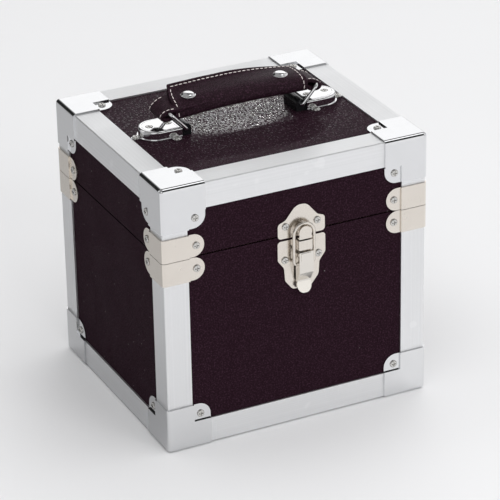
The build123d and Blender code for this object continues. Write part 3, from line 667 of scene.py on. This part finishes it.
def aim(location: Vector, forward: Vector, upward: Vector) -> Matrix:
    """A placement whose X points forward and whose Z points upward.

    Args:
        location: where the origin goes.
        forward: direction of X.
        upward: rough direction of Z.

    Returns:
        The 4x4 matrix.
    """
    x = forward.normalized()
    y = upward.cross(x).normalized()
    z = x.cross(y)
    return Matrix.Translation(location) @ Matrix((x, y, z)).transposed().to_4x4()


# ---------------- handle
@dataclass(frozen=True)
class Seat:
    """Where the handle lies on the lid.

    Attributes:
        floor: height of the leathercloth.
        middle_y: the lid's middle along Y.
        middle_x: the handle's middle along X.
        half_length: half the grip's length.
    """

    floor: float
    middle_y: float
    middle_x: float = -1.3 * MM
    half_length: float = 53.9 * MM


@dataclass
class Grip:
    """The padded grip, as sections at its left end, middle and right end.

    A section runs from the tip of the sewn lip over the top, down the front, back underneath
    and up to the lip again. Its numbers are millimetres: Y, and height above the leathercloth.

    Attributes:
        seat: where it lies.
        lean: how far the left end's back half leans inwards per unit of Y.
        left: the left end's section.
        middle: the middle's section.
        right: the right end's section.
    """

    seat: Seat
    lean: float = 0.26
    left: tuple = (
        (12.4, 33.0), (10.8, 33.2), (8.2, 30.6), (4.6, 28.6), (-0.6, 26.6), (-5.4, 24.2), (-9.3, 21.0),
        (-10.7, 16.9), (-10.0, 13.7), (-7.0, 12.9), (-0.8, 14.2), (5.2, 16.6), (9.8, 20.4), (11.2, 25.6),
        (13.4, 31.2))
    middle: tuple = (
        (14.2, 33.4), (12.6, 33.6), (9.6, 31.5), (5.0, 30.5), (-0.5, 29.5), (-5.8, 27.7), (-10.2, 24.6),
        (-12.0, 20.6), (-10.9, 17.0), (-6.8, 15.5), (-0.5, 15.3), (5.5, 16.2), (10.0, 19.6), (12.0, 26.0),
        (15.0, 31.6))
    right: tuple = (
        (16.8, 24.8), (16.2, 26.2), (12.6, 26.7), (8.0, 27.2), (1.0, 27.5), (-5.6, 27.0), (-10.8, 24.6),
        (-12.4, 20.6), (-11.4, 16.8), (-7.0, 15.3), (0.5, 15.0), (7.0, 15.4), (11.2, 17.8), (12.8, 22.4),
        (16.4, 23.4))

    def control(self, along: float) -> list[Vector]:
        """Section points at a place along the grip.

        Args:
            along: -1 at the left end, 1 at the right end.

        Returns:
            The section's control points.
        """
        end_power, lean_power = 1.7, 5
        end = self.left if along < 0 else self.right
        share = abs(along) ** end_power
        lean = self.lean * MM * max(0.0, -along) ** lean_power
        made = []
        for (y0, z0), (y1, z1) in zip(self.middle, end):
            y, z = y0 + (y1 - y0) * share, z0 + (z1 - z0) * share
            x = self.seat.middle_x + along * self.seat.half_length + lean * max(0.0, y)
            made.append(Vector((x, self.seat.middle_y + y * MM, self.seat.floor + z * MM)))
        return made

    def ring(self, along: float, count: int) -> list[Vector]:
        """The section's outline at a place along the grip.

        Args:
            along: -1 at the left end, 1 at the right end.
            count: number of points.

        Returns:
            The outline.
        """
        ripple, waves = 0.22 * MM, Matrix.Diagonal((60.0, 150.0, 150.0))
        ring = smooth_loop(self.control(along), count)
        for point in ring:
            point.z += noise.noise(waves @ point) * ripple
        return ring

    def surface(self, along: float, station: float) -> tuple[Vector, Vector]:
        """A point on the grip.

        Args:
            along: -1 at the left end, 1 at the right end.
            station: position in the section, counted in its control points.

        Returns:
            The point and the outward normal.
        """
        per_point = 16
        count = len(self.middle) * per_point
        index = round(station * per_point) % count
        ring = self.ring(along, count)
        around = (ring[(index + 3) % count] - ring[index - 3]).normalized()
        nearby = self.ring(along + 0.01, count)
        lengthwise = (nearby[index] - ring[index]).normalized()
        return ring[index], around.cross(lengthwise).normalized()

    def build(self, material: Material, filling: Material) -> Piece:
        """Makes the grip.

        Args:
            material: leather.
            filling: what shows at the open ends.

        Returns:
            The piece.
        """
        steps, points_round = 64, 60
        turned_in = ((0.975, -0.35), (0.88, 0.0), (0.86, 1.6))  # share of the opening, millimetres inwards
        places = [math.sin(math.pi / 2 * (2 * step / steps - 1)) for step in range(steps + 1)]
        mesh = skin([self.ring(along, points_round) for along in places], closed=False)
        for along in (-1.0, 1.0):
            rim = [edge for edge in mesh.edges
                   if edge.is_boundary and (edge.verts[0].co.x - self.seat.middle_x) * along > 0.0]
            centre = sum((edge.verts[0].co for edge in rim), Vector()) / len(rim)
            there, back = Matrix.Translation(centre), Matrix.Translation(-centre)
            reached = 1.0
            for share, inwards in turned_in:
                grown = bmesh.ops.extrude_edge_only(mesh, edges=rim)["geom"]
                moved = [item for item in grown if isinstance(item, bmesh.types.BMVert)]
                shrink = there @ Matrix.Scale(share / reached, 4) @ back
                bmesh.ops.transform(mesh, matrix=shrink, verts=moved)
                bmesh.ops.translate(mesh, verts=moved, vec=(-along * inwards * MM, 0.0, 0.0))
                rim = [item for item in grown if isinstance(item, bmesh.types.BMEdge)]
                reached = share
            for face in bmesh.ops.contextual_create(mesh, geom=rim)["faces"]:
                face.material_index = 1
        bmesh.ops.recalc_face_normals(mesh, faces=mesh.faces[:])
        piece = finish_piece("handle_grip_leather", mesh, material, subdivide=1)
        piece.data.materials.append(filling)
        return piece


@dataclass
class Strap:
    """The band that loops round both rings, as its middle line in the plane across the case.

    Attributes:
        seat: where it lies.
        half_width: half its width, in millimetres.
        thickness: its thickness, in millimetres.
        twist: twist of its left part, in degrees.
        line: X and height above the leathercloth, in millimetres, of the right half, from the grip's
            upper layer round the loop to the lower layer.
        section: shares of the half width and of half the thickness, round the band.
    """

    seat: Seat
    half_width: float = 10.5
    thickness: float = 3.0
    twist: float = 12.0
    line: tuple = (
        (12.0, 22.9), (30.0, 22.9), (46.0, 22.9), (53.0, 22.9), (57.9, 22.6), (61.9, 21.0), (64.8, 18.6),
        (65.2, 16.7), (63.0, 15.4), (59.6, 15.5), (57.0, 16.6), (54.8, 18.0), (52.0, 18.4), (44.0, 18.4),
        (28.0, 18.4), (12.0, 18.4))
    section: tuple = (
        (-1.0, 0.45), (-0.985, 0.86), (-0.95, 1.0), (-0.88, 0.92), (-0.8, 0.98), (-0.4, 1.06), (0.0, 1.08),
        (0.4, 1.06), (0.8, 0.98), (0.88, 0.92), (0.95, 1.0), (0.985, 0.86), (1.0, 0.45), (1.0, -0.45),
        (0.985, -0.86), (0.95, -1.0), (0.5, -1.0), (0.0, -1.0), (-0.5, -1.0), (-0.95, -1.0), (-0.985, -0.86),
        (-1.0, -0.45))

    def path(self) -> list[Vector]:
        """The whole closed middle line, with Y = 0."""
        right = [Vector((x, 0.0, z)) * MM for x, z in self.line]
        left = [Vector((-point.x, 0.0, point.z)) for point in reversed(right)]
        return smooth_loop(right + left, count=220)

    def turn(self, x: float) -> float:
        """Twist of the band at a place along the case.

        Args:
            x: the place.

        Returns:
            The angle in radians.
        """
        loop_end, loop_length, fade_length = -67.0 * MM, 14.0 * MM, 45.0 * MM
        inside = min(1.0, max(0.0, (x - loop_end) / loop_length))
        fade = min(1.0, max(0.0, -x / fade_length))
        return math.radians(self.twist) * (inside * inside * (3 - 2 * inside)) * fade

    def frame_at(self, path: list[Vector], index: int) -> tuple[Vector, Vector, Vector]:
        """Directions of the band at a point of its path.

        Args:
            path: the middle line.
            index: which point.

        Returns:
            The placed point, the direction across the band and the outward normal.
        """
        point = path[index]
        tangent = (path[(index + 1) % len(path)] - path[index - 1]).normalized()
        across = Vector((0.0, 1.0, 0.0))
        outward = tangent.cross(across).normalized()
        twist_axis = Vector((0.0, 0.0, 20.7 * MM))
        turn = Matrix.Rotation(self.turn(point.x), 3, "X")
        placed = turn @ (Vector((0.0, 0.0, point.z)) - twist_axis) + twist_axis
        placed += Vector((point.x + self.seat.middle_x, self.seat.middle_y, self.seat.floor))
        return placed, turn @ across, turn @ outward

    def build(self, material: Material) -> Piece:
        """Makes the band.

        Args:
            material: leather.

        Returns:
            The piece.
        """
        path = self.path()
        half, depth = self.half_width * MM, self.thickness / 2 * MM
        rings = []
        for index in range(len(path)):
            placed, across, outward = self.frame_at(path, index)
            rings.append([placed + across * (u * half) + outward * (v * depth) for u, v in self.section])
        return finish_piece("handle_strap_leather", skin(rings, closed=True), material, subdivide=1)


@dataclass
class Sewing:
    """Stitches of thick thread.

    Attributes:
        length: length of a stitch.
        gap: gap between two stitches.
        radius: radius of the thread.
        slant: how far a stitch may slant, as a share of its length.
        uneven: how much the thread's width varies, as a share.
        mesh: the stitches so far.
        dice: the draws for slant and width.
    """

    length: float = 2.5 * MM
    gap: float = 0.95 * MM
    radius: float = 0.34 * MM
    slant: float = 0.12
    uneven: float = 0.08
    mesh: bmesh.types.BMesh = field(default_factory=bmesh.new)
    dice: random.Random = field(default_factory=lambda: random.Random(7))

    def stitch(self, start: Vector, end: Vector, normal: Vector) -> None:
        """Adds one stitch.

        Args:
            start: where it leaves the leather.
            end: where it goes back in.
            normal: outward normal there.
        """
        along = end - start
        slant = self.dice.uniform(-self.slant, self.slant)
        lean = normal.cross(along).normalized() * slant * along.length
        middle = (start + end) / 2 + normal * self.radius * 0.35
        placement = aim(middle, along + lean, normal)
        width = self.radius * self.dice.uniform(1.0 - self.uneven, 1.0 + self.uneven)
        size = Matrix.Diagonal((along.length / 2, width, self.radius * 0.9, 1.0))
        bmesh.ops.create_uvsphere(self.mesh, u_segments=7, v_segments=6, radius=1.0,
                                  matrix=placement @ size @ Matrix.Rotation(math.pi / 2, 4, "Y"))

    def seam(self, line: list[tuple[Vector, Vector]]) -> None:
        """Sews along a line.

        Args:
            line: points on the leather with their outward normals.
        """
        travelled, start = 0.0, None
        for (point, normal), (following, _) in zip(line, line[1:]):
            travelled += (following - point).length
            if start is None and travelled >= self.gap:
                start, travelled = point, 0.0
            elif start is not None and travelled >= self.length:
                self.stitch(start, following, normal)
                start, travelled = None, 0.0

    def build(self, material: Material) -> Piece:
        """Makes the thread's piece."""
        return finish_piece("handle_stitching", self.mesh, material)


@dataclass
class Handle:
    """The soft handle: grip, strap, stitching and studs.

    Places along the grip run from -1 at its left end to 1 at its right end, and stations count
    the points of its section.

    Attributes:
        seat: where it lies.
    """

    seat: Seat

    def build(self, finishes: dict[str, Material]) -> list[Piece]:
        """Makes the handle's pieces.

        Args:
            finishes: the materials by name.

        Returns:
            The pieces.
        """
        grip, strap = Grip(self.seat), Strap(self.seat)
        grip_piece = grip.build(finishes["handle_leather"], finishes["filling"])
        strap_piece = strap.build(finishes["handle_leather"])
        thread = self.stitching(grip, strap, finishes["thread"])
        studs = self.studs(grip, finishes["chrome"])
        for piece, node, slot in ((grip_piece, "handle_grip", "handle_leather"),
                                  (strap_piece, "handle_strap", "handle_leather"),
                                  (studs, "handle_studs", "handle_chrome")):
            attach(piece, "handle")
            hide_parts(node)
        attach(thread, "handle")
        return [grip_piece, strap_piece, thread, studs]

    def stitching(self, grip: Grip, strap: Strap, material: Material) -> Piece:
        """Sews the lip, the grip's ends and the strap's loops.

        Args:
            grip: the grip.
            strap: the strap.
            material: thread.

        Returns:
            The thread's piece.
        """
        lip_station, lip_ends = 1.55, (-0.975, 0.975)
        end_seams, end_stations = (-0.96, 0.945), (1.9, 8.5)
        loop_runs, loop_seam = ((12, 96), (124, 208)), 0.875
        sewing = Sewing()
        sewing.seam([grip.surface(along, lip_station) for along in self.steps(*lip_ends, 360)])
        for along in end_seams:
            sewing.seam([grip.surface(along, station) for station in self.steps(*end_stations, 90)])
        path = strap.path()
        lift = 0.94 * strap.thickness / 2 * MM
        hidden = self.seat.half_length + 0.4 * MM
        for side in (-1.0, 1.0):
            for run in loop_runs:
                line = []
                for index in range(*run):
                    placed, across, outward = strap.frame_at(path, index)
                    aside = side * strap.half_width * loop_seam * MM
                    place = placed + across * aside + outward * lift
                    if abs(place.x - self.seat.middle_x) > hidden:
                        line.append((place, outward))
                sewing.seam(self.finer(line))
        return sewing.build(material)

    @staticmethod
    def steps(start: float, end: float, count: int) -> list[float]:
        """Evenly spaced values from start to end, count steps apart."""
        return [start + (end - start) * step / count for step in range(count + 1)]

    @staticmethod
    def finer(line: list[tuple[Vector, Vector]], parts: int = 6) -> list[tuple[Vector, Vector]]:
        """A line with more points.

        Args:
            line: points and normals.
            parts: how many parts each step is cut into.

        Returns:
            The finer line.
        """
        made = []
        for (point, normal), (following, other) in zip(line, line[1:]):
            for part in range(parts):
                share = part / parts
                made.append((point.lerp(following, share), normal.lerp(other, share).normalized()))
        return made

    def studs(self, grip: Grip, material: Material) -> Piece:
        """Domed studs on the grip.

        Args:
            grip: the grip.
            material: chrome.

        Returns:
            The studs' piece.
        """
        places, station, upright = (-0.735, 0.684), 4.0, Vector((0.0, 0.0, 2.0))
        profile = ((0.0, 1.9), (1.6, 1.85), (3.0, 1.62), (4.15, 1.2), (4.95, 0.55), (5.35, 0.1), (5.6, 0.1),
                   (5.9, 0.0), (5.95, -0.3), (5.8, -0.8))
        mesh = bmesh.new()
        for along in places:
            point, normal = grip.surface(along, station)
            placement = aim(point, Vector((1.0, 0.0, 0.0)), (normal + upright).normalized())
            earlier = set(mesh.verts)
            verts = [mesh.verts.new((radius * MM, 0.0, height * MM)) for radius, height in profile]
            edges = [mesh.edges.new(pair) for pair in zip(verts, verts[1:])]
            bmesh.ops.spin(mesh, geom=verts + edges, cent=(0, 0, 0), axis=(0, 0, 1), angle=2 * math.pi,
                           steps=40, use_merge=True)
            fresh = [vertex for vertex in mesh.verts if vertex not in earlier]
            bmesh.ops.transform(mesh, matrix=placement, verts=fresh)
        bmesh.ops.remove_doubles(mesh, verts=mesh.verts[:], dist=1e-6)
        bmesh.ops.recalc_face_normals(mesh, faces=mesh.faces[:])
        return finish_piece("handle_stud_domes", mesh, material, subdivide=1)


# ---------------- dressing the frame
FINISH_RULES: tuple[tuple[str, str], ...] = (
    ("leathercloth", "leathercloth"), ("lining", "lining"), ("posts", "profile_z"),
    ("edge_front", "profile_x"), ("edge_back", "profile_x"), ("edge_left", "profile_y"),
    ("edge_right", "profile_y"), ("_corner_", "corner_chrome"), ("clamps", "nickel"),
    ("hinge_block", "block_black"), ("latch_lever", "bright_nickel"), ("latch", "nickel"),
    ("hinge", "nickel"), ("screws", "screw"), ("cap", "chrome"), ("handle_plate", "chrome"),
    ("ring", "chrome"), ("front_panel", "ply_front"), ("back_panel", "ply_front"),
    ("left_panel", "ply_side"), ("right_panel", "ply_side"), ("floor_panel", "ply_flat"),
    ("top_panel", "ply_flat"), ("handle_grip", "handle_leather"), ("handle_strap", "handle_leather"),
    ("handle_studs", "chrome"),
)


def finish_for(name: str) -> str:
    """The finish of a node: that of the first part in FINISH_RULES that its name contains.

    Args:
        name: the node.

    Returns:
        The finish's name.
    """
    for part, finish in FINISH_RULES:
        if part in name:
            return finish
    raise KeyError(name)


def dress(nodes: dict[str, Piece], finishes: dict[str, Material]) -> None:
    """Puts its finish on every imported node.

    Args:
        nodes: the pieces by node name.
        finishes: the materials by name.
    """
    for name, piece in nodes.items():
        material = finishes[finish_for(name)]
        if not piece.material_slots:
            piece.data.materials.append(material)
        for slot in piece.material_slots:
            slot.material = material


def make_finishes(effects: Effects) -> dict[str, Material]:
    """Builds every finish.

    Args:
        effects: the shared effects.

    Returns:
        The materials by name.
    """
    aluminium = (0.815, 0.82, 0.83)
    ply = (0.48, 0.33, 0.19)
    kinds = [
        # seam=155.9 mm places the leathercloth's painted shadow line along the seam.
        Leather("leathercloth", (0.019, 0.008, 0.0128), 0.36, pebble=1.0 * MM, relief=0.3 * MM, strength=0.9,
                highlight=(0.046, 0.022, 0.036), gloss=0.008, mottle=0.22, dusty=0.5, polish=Polish(),
                seam=155.9 * MM),
        Leather("handle_leather", (0.0155, 0.006, 0.010), 0.34, pebble=0.9 * MM, relief=0.24 * MM,
                strength=0.7, highlight=(0.038, 0.017, 0.029), gloss=0.09, mottle=0.34),
        Paper("lining", (0.030, 0.024, 0.028), 0.9),
        Paper("filling", (0.010, 0.008, 0.009), 0.95),
        *(Profile(f"profile_{along.name.lower()}", aluminium, 0.42, along=along) for along in Along),
        Plated("corner_chrome", (0.745, 0.75, 0.762), 0.06, waviness=0.04),
        Plated("chrome", (0.82, 0.82, 0.83), 0.06, waviness=0.05),
        Plated("nickel", (0.75, 0.70, 0.64), 0.19, waviness=0.05),
        Plated("bright_nickel", (0.765, 0.73, 0.68), 0.10, waviness=0.05),
        Plated("screw", (0.60, 0.59, 0.57), 0.16, waviness=0.05),
        Gloss("block_black", (0.008, 0.008, 0.009), 0.16),
        Plywood("ply_front", ply, 0.7, through=Along.Y, middle=91 * MM),
        Plywood("ply_side", ply, 0.7, through=Along.X, middle=103.5 * MM),
        Plywood("ply_flat", ply, 0.7, through=Along.Z, middle=5.2 * MM),
        Thread("thread", (0.90, 0.82, 0.80), 0.55),
    ]
    return {kind.name: kind.build(effects) for kind in kinds}


# ---------------- stage, lights and camera
@dataclass(frozen=True)
class Window:
    """A soft bright area of the room that polished metal mirrors.

    Attributes:
        towards: direction of its middle.
        inner: half angle of its full brightness, in degrees.
        outer: half angle where it has faded out.
        level: its brightness.
    """

    towards: tuple[float, float, float]
    inner: float
    outer: float
    level: float

    def shade(self, wiring: Wiring, direction: Socket) -> Socket:
        """The brightness that this window gives in a direction.

        Args:
            wiring: the world's wiring.
            direction: the direction's socket.

        Returns:
            The brightness.
        """
        middle = tuple(Vector(self.towards).normalized())
        near = wiring.node("ShaderNodeVectorMath", {0: direction, 1: middle}, operation="DOT_PRODUCT")
        low, high = (math.cos(math.radians(angle)) for angle in (self.outer, self.inner))
        return wiring.spread(near.outputs["Value"], low, high, 0.0, self.level)


@dataclass(frozen=True)
class Lamp:
    """A soft rectangular light.

    Attributes:
        name: its name.
        place: where it stands.
        size: its width and height.
        power: power in watts.
        mirrored: True lets polished surfaces mirror it.
    """

    name: str
    place: tuple[float, float, float]
    size: tuple[float, float]
    power: float
    mirrored: bool = False

    def build(self, target: Vector) -> Piece:
        """Makes the light.

        Args:
            target: what it points at.

        Returns:
            The lamp.
        """
        data = bpy.data.lights.new(self.name, "AREA")
        data.shape = "RECTANGLE"
        data.size, data.size_y = self.size
        data.energy = self.power
        lamp = bpy.data.objects.new(self.name, data)
        lamp.location = self.place
        lamp.rotation_mode = "QUATERNION"
        lamp.rotation_quaternion = (target - Vector(self.place)).to_track_quat("-Z", "Y")
        lamp.visible_camera = False
        lamp.visible_glossy = self.mirrored
        bpy.context.scene.collection.objects.link(lamp)
        return lamp


@dataclass
class Studio:
    """Pale sweep, soft lights and the camera.

    Attributes:
        floor_colour: colour of the floor.
        windows: bright areas of the room.
        shadows: directions in which the room is dark.
        lamps: the soft lights.
        camera_place: where the camera stands.
        camera_angles: its azimuth, elevation and roll, in degrees.
        lens: its focal length, in millimetres.
    """

    floor_colour: Colour = (0.80, 0.80, 0.81)
    windows: tuple = (
        Window((0.50, 0.76, 0.40), 20.0, 26.0, 1.25),
        Window((0.39, -0.09, 0.917), 11.0, 15.0, 1.6),
        Window((0.30, -0.95, 0.02), 14.0, 28.0, 1.12),
        Window((0.95, -0.10, 0.25), 20.0, 45.0, 0.8),
        Window((-0.50, -0.76, 0.40), 16.0, 22.0, 1.0),
        Window((0.76, -0.50, 0.40), 16.0, 22.0, 1.0),
        Window((-0.76, 0.50, 0.40), 16.0, 22.0, 1.0),
    )
    shadows: tuple = (
        Window((0.39, 0.38, 0.83), 12.0, 18.0, 1.0),
        Window((0.39, -0.62, 0.66), 19.0, 27.0, 1.0),
        Window((-0.44, 0.81, 0.39), 18.0, 26.0, 1.0),
    )
    lamps: tuple = (
        Lamp("key", (1.3, 1.1, 1.9), (1.6, 1.6), 7.0),
        Lamp("overhead", (-0.1, -0.35, 2.8), (3.2, 3.2), 37.0),
        Lamp("front_fill", (0.5, -2.6, 1.3), (2.0, 1.4), 26.0),
    )
    camera_place: tuple[float, float, float] = (-0.81489, -1.70348, 1.02133)
    camera_angles: tuple[float, float, float] = (-25.763, 25.954, -1.12)
    lens: float = 197.29

    def floor(self) -> None:
        """A wide pale floor, with painted reflection: metal mirrors it darker left of the case and brighter
        in front of it.
        """
        dimmed, brightened = 0.37, 0.5
        mesh = bmesh.new()
        bmesh.ops.create_grid(mesh, x_segments=8, y_segments=8, size=6.0)
        material = bpy.data.materials.new("studio_floor")
        material.use_nodes = True
        wiring = Wiring(material.node_tree)
        shader = material.node_tree.nodes["Principled BSDF"]
        place = wiring.place()
        x, y, _ = wiring.node("ShaderNodeSeparateXYZ", {0: place}).outputs
        mottle = wiring.noise(place, 3.0, 2.0)
        colour = wiring.blend(mottle, self.floor_colour, scaled(self.floor_colour, 1.03))
        # Painted reflection: for glossy rays only, the floor's colour is darkened left of the case and
        # lightened in front of it.
        mirrored = wiring.node("ShaderNodeLightPath").outputs["Is Glossy Ray"]
        beside = wiring.math("MULTIPLY", wiring.spread(x, -0.04, -0.14, 0.0, dimmed),
                             wiring.spread(y, -0.18, -0.12))
        colour = wiring.blend(wiring.math("MULTIPLY", beside, mirrored), colour, BLACK)
        before = wiring.math("MULTIPLY", wiring.spread(y, -0.30, -0.14, 0.0, brightened),
                             wiring.spread(y, -0.08, -0.11))
        colour = wiring.blend(wiring.math("MULTIPLY", before, mirrored), colour, WHITE)
        wiring.feed_all(shader, Base_Color=colour, Roughness=0.7, Specular_IOR_Level=0.1)
        finish_piece("studio_floor", mesh, material)

    def sky(self) -> None:
        """Dim room with soft bright areas; the camera itself sees a plain pale backdrop."""
        mirrored_room, even_fill, dark, backdrop = 0.32, 0.41, 0.02, 0.8
        world = bpy.data.worlds.new("studio")
        bpy.context.scene.world = world
        world.use_nodes = True
        wiring = Wiring(world.node_tree)
        direction = wiring.node("ShaderNodeTexCoord").outputs["Generated"]
        rays = wiring.node("ShaderNodeLightPath").outputs
        level = wiring.math("MULTIPLY", rays["Is Glossy Ray"], mirrored_room)
        for shadow in self.shadows:
            lit = wiring.math("SUBTRACT", 1.0, shadow.shade(wiring, direction))
            level = wiring.math("MULTIPLY", level, lit)
        even = wiring.math("MULTIPLY_ADD", rays["Is Diffuse Ray"], even_fill, dark)
        seen = wiring.math("MULTIPLY", rays["Is Camera Ray"], backdrop)
        for part in (even, *(window.shade(wiring, direction) for window in self.windows), seen):
            level = wiring.math("MAXIMUM", level, part)
        wiring.feed_all(world.node_tree.nodes["Background"], Color=wiring.blend(level, BLACK, WHITE),
                        Strength=wiring.math("MAXIMUM", level, 1.0))

    def lights(self, glare_piece: Piece) -> None:
        """The soft lights, and the small one whose glare lies on the lid's leathercloth alone.

        Args:
            glare_piece: the piece that the glare lies on.
        """
        middle = Vector((0.0, 0.0, 0.12))
        for lamp in self.lamps:
            lamp.build(middle)
        spot, way, distance = Vector((0.003, 0.004, 0.212)), Vector((0.39, 0.81, 0.4376)), 1.1
        place = spot + way.normalized() * distance
        glare = Lamp("glare", tuple(place), (0.15, 0.05), 4.2, mirrored=True).build(spot)
        lit = bpy.data.collections.new("glare_leather")
        lit.objects.link(glare_piece)
        glare.light_linking.receiver_collection = lit

    def camera(self) -> None:
        """The camera at its viewing angle."""
        azimuth, elevation, roll = (math.radians(angle) for angle in self.camera_angles)
        back = Vector((math.sin(azimuth) * math.cos(elevation), -math.cos(azimuth) * math.cos(elevation),
                       math.sin(elevation)))
        level = Vector((math.cos(azimuth), math.sin(azimuth), 0.0))
        above = back.cross(level)
        right = level * math.cos(roll) + above * math.sin(roll)
        up = above * math.cos(roll) - level * math.sin(roll)
        data = bpy.data.cameras.new("camera")
        data.sensor_width = 36.0
        data.lens = self.lens
        data.clip_end = 50.0
        camera = bpy.data.objects.new("camera", data)
        turned = Matrix((right, up, back)).transposed().to_4x4()
        camera.matrix_world = Matrix.Translation(self.camera_place) @ turned
        bpy.context.scene.collection.objects.link(camera)
        bpy.context.scene.camera = camera

    def build(self, glare_piece: Piece) -> None:
        """Builds the whole stage.

        Args:
            glare_piece: the piece that the glare lies on.
        """
        bpy.context.scene.view_settings.view_transform = "Standard"
        self.floor()
        self.sky()
        self.lights(glare_piece)
        self.camera()


def main() -> None:
    """Builds the case's finishes and soft pieces, and the studio."""
    logging.basicConfig(level=logging.INFO, format="%(name)s: %(message)s")
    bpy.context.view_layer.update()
    Studio().build(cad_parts["lid_leathercloth"])
    finishes = make_finishes(Effects())
    dress(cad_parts, finishes)
    LOG.info("dressed %d nodes", len(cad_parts))
    low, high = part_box("lid_leathercloth")
    handle = Handle(Seat(floor=high.z, middle_y=(low.y + high.y) / 2))
    for piece in handle.build(finishes):
        LOG.info("%s: %d faces", piece.name, len(piece.data.polygons))


if __name__ == "__main__":
    main()
